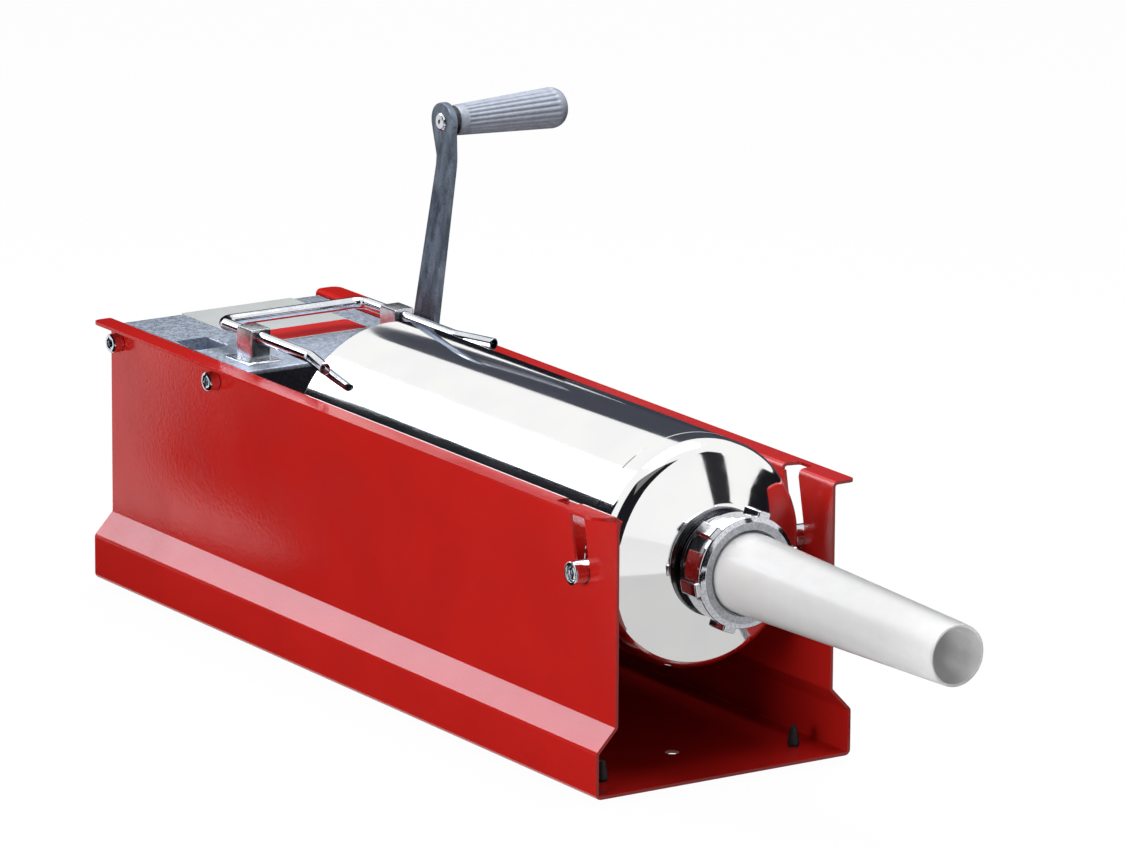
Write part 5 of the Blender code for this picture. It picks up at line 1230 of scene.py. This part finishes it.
@dataclass
class Crank:
    """The bent arm on its square, its nut and washer, and the fluted grip on its pin."""

    trees: Trees
    bend_half: float = 0.006
    bend_steps: int = 6
    first_bend: float = 0.025
    last_bend: float = 0.026
    radius: float = 0.1882
    offset: float = 0.0189
    flutes: int = 22
    flute_depth: float = -0.0008
    flute_start: float = 0.0075
    flute_end: float = 0.0105
    end_length: float = 0.010
    root_radius: float = 0.0100
    end_radius: float = 0.0135
    grip_edge: float = 0.0012
    stations: int = 90
    dome_steps: int = 12
    bore_end: float = 0.074
    pin_radius: float = 0.004
    pin_rise: float = 0.0012
    stud_bore: float = 0.0043
    nut_cut: float = 0.0005
    arm_edge: float = 0.0006
    shaft_edge: float = 0.0003

    def build(self) -> None:
        """Make the pieces of the crank."""
        self._arm()
        self._fixings()
        self._pin()
        self._grip()
        refined("drive_shaft", STEEL, self.shaft_edge)

    def _arm(self) -> None:
        """The flat bar; its two bends are rounded."""
        work = merged_copy("crank_arm")
        shaft = span("drive_shaft")[2]
        top = shaft.z + self.radius
        low_bend, high_bend = shaft.z + self.first_bend, top - self.last_bend
        slope = self.offset / (high_bend - low_bend)
        for bend in (low_bend, high_bend):
            for step in range(-self.bend_steps, self.bend_steps + 1):
                level = bend + self.bend_half * step / self.bend_steps
                bmesh.ops.bisect_plane(work, geom=work.verts[:] + work.edges[:] + work.faces[:],
                                       plane_co=(0, 0, level), plane_no=(0, 0, 1), dist=1e-5)
        for vert in work.verts:
            for bend, sign in ((low_bend, 1), (high_bend, -1)):
                away = abs(vert.co.z - bend)
                if away < self.bend_half:
                    ease = (self.bend_half - away) ** 2 / (4 * self.bend_half)
                    vert.co.y += sign * slope * ease
        refined("crank_arm", ZINC, self.arm_edge, work)

    def _fixings(self) -> None:
        """The washer and the hexagon nut on the shaft's stud."""
        low, high, _, half = span("crank_washer")
        radius, bore, tall = max(half.x, half.z), self.stud_bore, high.y - low.y
        profile = rounded([(bore, 0), (radius, 0), (radius, tall), (bore, tall)],
                          [0, GAP, 0.0005, 0], 3)
        stood(turned("crank_washer_plated", profile, 72, ring=True), Axis.OUT_FAR, CHROME, "crank",
              "crank_washer")
        low, high, _, half = span("crank_nut")
        corner, tall, cut = max(half.x, half.z), high.y - low.y, self.nut_cut
        flat = corner * math.cos(math.pi / 6)
        cone = (corner - flat) * math.tan(math.pi / 6)
        nut: Profile = [(bore, SLIGHT), (bore + cut, 0), (flat * 0.98, 0), (corner, cone, 6),
                        (corner, tall - cone, 6), (flat * 0.98, tall), (bore + cut, tall),
                        (bore, tall - cut)]
        stood(turned("crank_nut_plated", nut, 72, ring=True), Axis.OUT_FAR, CHROME, "crank",
              "crank_nut")

    def _pin(self) -> None:
        """The riveted pin with a dimple in its head, and the collar."""
        low, high, _, half = span("grip_pin")
        head, length = max(half.x, half.z), high.y - low.y
        shank, rise = self.pin_radius, self.pin_rise
        profile = rounded([(0, SOFT), (0.0012, 0.0001), (0.0017, 0), (head * 0.8, 0.0001),
                           (head, rise), (shank, rise), (shank, length), (0, length)],
                          [0, TIGHT, GAP, 0.001, 0.0001, 0, SOFT, 0], 4)
        stood(turned("riveted_pin", profile, 64), Axis.OUT_FAR, CHROME, "crank", "grip_pin")
        low, high, _, half = span("grip_collar")
        radius, tall, bore = max(half.x, half.z), high.y - low.y, shank + GAP
        profile = rounded([(bore, 0), (radius, 0), (radius, tall), (bore, tall)],
                          [0, SOFT, SOFT, 0], 4)
        stood(turned("grip_collar_black", profile, 72, ring=True), Axis.OUT_FAR, ACETAL, "crank",
              "grip_collar")

    def _grip(self) -> None:
        """The tapered grip: flutes cut with a ball-ended cutter, and a domed end."""
        low, high, _, _ = span("crank_grip")
        length = high.y - low.y
        body, edge, stations = length - self.end_length, self.grip_edge, self.stations
        flank = [(self.root_radius + (self.end_radius - self.root_radius) * i / stations,
                  edge + (body - edge) * i / stations) for i in range(stations + 1)]
        dome = []
        for i in range(1, self.dome_steps + 1):
            angle = math.pi / 2 * i / self.dome_steps
            dome.append((self.end_radius * math.cos(angle) ** 0.6,
                         body + self.end_length * math.sin(angle)))
        dome[-1] = (0.0, body + self.end_length)
        bore, deep = self.pin_radius + GAP, self.bore_end
        profile: Profile = [(0, deep), (bore, deep), (bore, 0), (self.root_radius - edge, 0),
                            (self.root_radius - edge * 0.3, edge * 0.3), *flank, *dome]
        mesh = turned("fluted_grip", profile, self.flutes * 12)
        spacing = math.tau * self.end_radius / self.flutes
        mesh = grown(mesh, self.trees.ridges,
                     {"Count": float(self.flutes), "Twist": 0.0, "Spacing": spacing,
                      "Depth": self.flute_depth, "Width": spacing * 0.40,
                      "Start": self.flute_start, "End": length - self.flute_end,
                      "Outer": bore + 0.001, "Material": GRIP.material()})
        stood(mesh, Axis.OUT_FAR, GRIP, "grip", "crank_grip")


@dataclass
class Mechanism:
    """Gears, shafts, bushes, rack and piston: fine copies of their solids."""

    edge: float = 0.00025
    finishes: dict[str, Finish] = field(default_factory=lambda: {
        "rack": GEAR_STEEL, "rack_pinion": GEAR_STEEL, "spur_gear": GEAR_STEEL,
        "drive_pinion": GEAR_STEEL, "pinion_shaft": STEEL, "drive_bush_near": BRONZE,
        "drive_bush_far": BRONZE, "pinion_bush_near": BRONZE, "pinion_bush_far": BRONZE,
        "piston_plate": STEEL, "piston_disc": NYLON, "piston_seal": RUBBER, "piston_nut": CHROME})

    def build(self) -> None:
        """Make the fine copies."""
        for node, finish in self.finishes.items():
            refined(node, finish, self.edge)


# Studio
@dataclass(frozen=True)
class Card:
    """A flat card of the studio, given by its corners; mirroring surfaces alone see it."""

    name: str
    corners: tuple[Vector, ...]
    colour: str
    strength: float = 1.0


def on_floor(*spots: tuple[float, float]) -> tuple[Vector, ...]:
    """Corners of a card that lies on the floor.

    Args:
        spots: the places of the corners.

    Returns:
        The corners.
    """
    return tuple(Vector((x, y, CARD_LEVEL)) for x, y in spots)


def upright(start: tuple[float, float], end: tuple[float, float], low: float, high: float,
            ) -> tuple[Vector, ...]:
    """Corners of a card that stands upright.

    Args:
        start: where its foot starts.
        end: where its foot ends.
        low: the height of its lower edge.
        high: the height of its upper edge.

    Returns:
        The corners.
    """
    return Vector((*start, low)), Vector((*end, low)), Vector((*end, high)), Vector((*start, high))


def seen_from(eye: Vector, distance: float, *sights: tuple[float, float]) -> tuple[Vector, ...]:
    """Corners of a card by its sight lines.

    Args:
        eye: the point of the machine that looks.
        distance: how far away the card stands.
        sights: azimuth from +X and elevation of each corner, in degrees.

    Returns:
        The corners.
    """
    corners = []
    for azimuth, elevation in sights:
        turn, rise = math.radians(azimuth), math.radians(elevation)
        corners.append(eye + distance * Vector((math.cos(turn) * math.cos(rise),
                                                math.sin(turn) * math.cos(rise), math.sin(rise))))
    return tuple(corners)


@dataclass(frozen=True)
class Softbox:
    """A rectangular lamp: where it stands, where it faces and what its width runs along.

    The radiance is that of its face, where 1 is the white of the backdrop.
    """

    name: str
    place: Vector
    facing: Vector
    along: Vector
    width: float
    height: float
    radiance: float
    glossy: bool = True
    spread: float = 180.0


@dataclass
class Studio:
    """White floor and backdrop, softboxes, and the dark and light cards that metal mirrors."""

    floor_level: float = -0.0046
    floor_size: float = 14.0
    ambient: float = 0.04
    floor_glow: float = 0.92
    floor_white: float = 1.06
    floor_mirrored: float = 0.95
    softboxes: tuple[Softbox, ...] = (
        Softbox("side_softbox", Vector((0.35, -1.45, 0.38)), Vector((-0.10, 0.97, -0.16)),
                Vector((1, 0, 0)), 1.4, 0.4, 10.2, glossy=False),
        Softbox("top_softbox", Vector((-0.1, 0.2, 1.7)), Vector((0.0, -0.1, -1.0)),
                Vector((1, 0, 0)), 1.6, 1.2, 6.0),
        Softbox("front_softbox", Vector((1.0, -0.5, 1.7)), Vector((-0.5, 0.25, -0.8)),
                Vector((0, 1, 0)), 1.0, 0.8, 0.2),
        Softbox("mouth_softbox", Vector((0.92, -0.39, 0.19)), Vector((-0.387, 0.39, -0.058)),
                Vector((0, 0, 1)), 0.06, 0.06, 0.5, glossy=False, spread=10.0),
    )
    cards: tuple[Card, ...] = (
        Card("flare_card", (Vector((-2.04, -0.876, 0.781)), Vector((-0.84, -0.876, 0.781)),
                            Vector((-0.84, -0.264, 1.119)), Vector((-2.04, -0.264, 1.119))),
             "#EEF3FF", 5.2),
        Card("far_card", (Vector((-1.134, 0.359, 0.828)), Vector((-0.12, 0.823, 0.639)),
                          Vector((-0.154, 1.789, -0.184)), Vector((-1.168, 1.325, 0.005))),
             "#454852"),
        Card("rear_card", upright((-0.33, -0.085), (-0.33, 0.32), 0.10, 0.25), "#1A1B20"),
        Card("near_left_card", upright((-1.5, -0.83), (-0.3, -0.83), 0.0, 0.85), "#141519"),
        Card("near_floor_card", on_floor((-0.45, -0.096), (0.33, -0.096), (-1.34, -1.19),
                                         (-1.86, -1.19), (-0.733, -0.386), (-0.66, -0.331),
                                         (-0.572, -0.269), (-0.515, -0.246), (-0.467, -0.236),
                                         (-0.377, -0.230), (-0.265, -0.201), (-0.45, -0.165)),
             "#101010"),
        Card("far_floor_card", on_floor((-2.5, 0.12), (0.4, 0.12), (0.4, 2.6), (-2.5, 2.6)),
             "#3C3F49"),
        Card("far_low_card", upright((-4.0, 1.9), (-0.6, 1.9), 0.0, 0.40), "#3C3F49"),
        Card("under_dome_card", on_floor((0.30, -0.165), (0.70, -0.165), (0.70, 0.35), (0.30, 0.35)),
             "#D2D2D2"),
        Card("front_floor_card", on_floor((0.30, -0.17), (1.0, -0.21), (1.6, -0.40), (1.3, -1.6),
                                          (0.0, -1.6)), "#101010"),
        Card("front_left_card", seen_from(Vector((0.28, -0.05, 0.16)), 2.2, (-14, -3), (-90, -3),
                                          (-80, 26), (-6, 26)), "#1C1C20"),
        Card("high_left_card", seen_from(Vector((0.28, -0.05, 0.16)), 2.2, (-6, 26), (-80, 26),
                                         (-85, 60), (20, 44)), "#1C1C20"),
        Card("post_card", seen_from(Vector((0.28, 0.0, 0.18)), 1.6, (31.0, 10), (45.5, 10),
                                    (40.0, 34), (34.0, 34)), "#2A2A2E"),
        Card("far_front_card", seen_from(Vector((0.28, 0.03, 0.16)), 1.3, (56, -6), (110, -6),
                                         (110, 9), (56, 9)), "#16161A"),
    )

    def build(self) -> None:
        """Set up the floor, the lamps, the cards and the world."""
        self._floor()
        for box in self.softboxes:
            self._lamp(box)
        for card in self.cards:
            self._card(card)
        self._world()

    def _sight(self, tree: bpy.types.NodeTree) -> bpy.types.NodeSocket:
        """1 for rays from the camera, mirrors and clear pieces, else 0."""
        path = add_node(tree, "ShaderNodeLightPath").outputs
        first = add_node(tree, "ShaderNodeMath", {"operation": "MAXIMUM"},
                         {0: path["Is Camera Ray"], 1: path["Is Glossy Ray"]})
        both = add_node(tree, "ShaderNodeMath", {"operation": "MAXIMUM"},
                        {0: first.outputs["Value"], 1: path["Is Transmission Ray"]})
        return both.outputs["Value"]

    def _floor(self) -> None:
        """A pale floor that stays white to the eye and keeps a faint shadow."""
        made = bpy.data.materials.new("white_paper_floor")
        tree = emptied_tree(made)
        paper = add_node(tree, "ShaderNodeBsdfDiffuse", {"Color": to_linear("#A0A0A0")})
        seen = add_node(tree, "ShaderNodeLightPath").outputs["Is Camera Ray"]
        level = add_node(tree, "ShaderNodeMapRange",
                         {"To Min": self.floor_mirrored, "To Max": self.floor_white},
                         {"Value": seen})
        glow = add_node(tree, "ShaderNodeEmission", {"Color": (1, 1, 1, 1)},
                        {"Strength": level.outputs["Result"]})
        share = add_node(tree, "ShaderNodeMath", {"operation": "MULTIPLY", 1: self.floor_glow},
                         {0: self._sight(tree)})
        both = add_node(tree, "ShaderNodeMixShader", {},
                        {0: share.outputs["Value"], 1: paper.outputs["BSDF"],
                         2: glow.outputs["Emission"]})
        add_node(tree, "ShaderNodeOutputMaterial", {}, {"Surface": both.outputs["Shader"]})
        reach = self.floor_size / 2
        corners = [Vector((x * reach, y * reach, self.floor_level))
                   for x, y in ((-1, -1), (1, -1), (1, 1), (-1, 1))]
        self._sheet("floor", corners, made)

    def _sheet(self, name: str, corners: Sequence[Vector], made: bpy.types.Material,
               ) -> bpy.types.Object:
        """A flat sheet that belongs to the studio, not to the machine.

        Args:
            name: the sheet's name.
            corners: of the sheet, in order.
            made: its material.

        Returns:
            The sheet.
        """
        mesh = bpy.data.meshes.new(name)
        mesh.from_pydata(corners, [], [range(len(corners))])
        mesh.materials.append(made)
        sheet = bpy.data.objects.new(name, mesh)
        bpy.context.scene.collection.objects.link(sheet)
        return sheet

    def _lamp(self, box: Softbox) -> None:
        """One softbox.

        Args:
            box: its place, size and light.
        """
        lamp = bpy.data.lights.new(box.name, "AREA")
        lamp.shape = "RECTANGLE"
        lamp.size, lamp.size_y = box.width, box.height
        lamp.energy = box.radiance * math.pi * box.width * box.height
        lamp.spread = math.radians(box.spread)
        made = bpy.data.objects.new(box.name, lamp)
        back = -box.facing.normalized()
        up = back.cross(box.along).normalized()
        turn = Matrix((up.cross(back), up, back)).transposed().to_4x4()
        made.matrix_world = Matrix.Translation(box.place) @ turn
        made.visible_glossy = box.glossy
        bpy.context.scene.collection.objects.link(made)

    def _card(self, card: Card) -> None:
        """One card that only mirrors see.

        Args:
            card: its corners and colour.
        """
        made = bpy.data.materials.new(card.name)
        tree = emptied_tree(made)
        glow = add_node(tree, "ShaderNodeEmission", {"Color": to_linear(card.colour),
                                                     "Strength": card.strength})
        add_node(tree, "ShaderNodeOutputMaterial", {}, {"Surface": glow.outputs["Emission"]})
        flat = self._sheet(card.name, card.corners, made)
        flat.visible_camera = False
        flat.visible_diffuse = False
        flat.visible_shadow = False
        flat.visible_transmission = False

    def _world(self) -> None:
        """White to the eye and to mirrors, a weak fill for the rest."""
        world = bpy.data.worlds.new("studio")
        bpy.context.scene.world = world
        tree = emptied_tree(world)
        strength = add_node(tree, "ShaderNodeMapRange", {"To Min": self.ambient, "To Max": 1.0},
                            {"Value": self._sight(tree)})
        back = add_node(tree, "ShaderNodeBackground", {"Color": (1, 1, 1, 1)},
                        {"Strength": strength.outputs["Result"]})
        add_node(tree, "ShaderNodeOutputWorld", {}, {"Surface": back.outputs["Background"]})


@dataclass
class Camera:
    """A long lens at the photograph's viewing angle."""

    place: Vector = field(default_factory=lambda: Vector((4.2936, -2.7268, 1.4393)))
    azimuth: float = math.radians(56.858)
    elevation: float = math.radians(14.187)
    roll: float = math.radians(0.342)
    lens: float = 269.22
    sensor: float = 36.0

    def build(self) -> None:
        """Place the camera and make it the scene's."""
        lens = bpy.data.cameras.new("camera")
        lens.lens, lens.sensor_width, lens.sensor_fit = self.lens, self.sensor, "HORIZONTAL"
        lens.clip_start, lens.clip_end = 0.1, 50.0
        made = bpy.data.objects.new("camera", lens)
        made.matrix_world = (Matrix.Translation(self.place)
                             @ Matrix.Rotation(self.azimuth, 4, "Z")
                             @ Matrix.Rotation(math.pi / 2 - self.elevation, 4, "X")
                             @ Matrix.Rotation(self.roll, 4, "Z"))
        bpy.context.scene.collection.objects.link(made)
        bpy.context.scene.camera = made


def main() -> None:
    """Build the machine, then the studio and the camera."""
    logging.basicConfig(level=logging.INFO, format="%(message)s")
    bpy.context.scene.view_settings.view_transform = "Standard"
    trees = Trees()
    for part in (Chassis(trees), Gearbox(trees), Bail(), Barrel(), Spout(trees), Crank(trees),
                 Mechanism()):
        part.build()
    Studio().build()
    Camera().build()


if __name__ == "__main__":
    main()
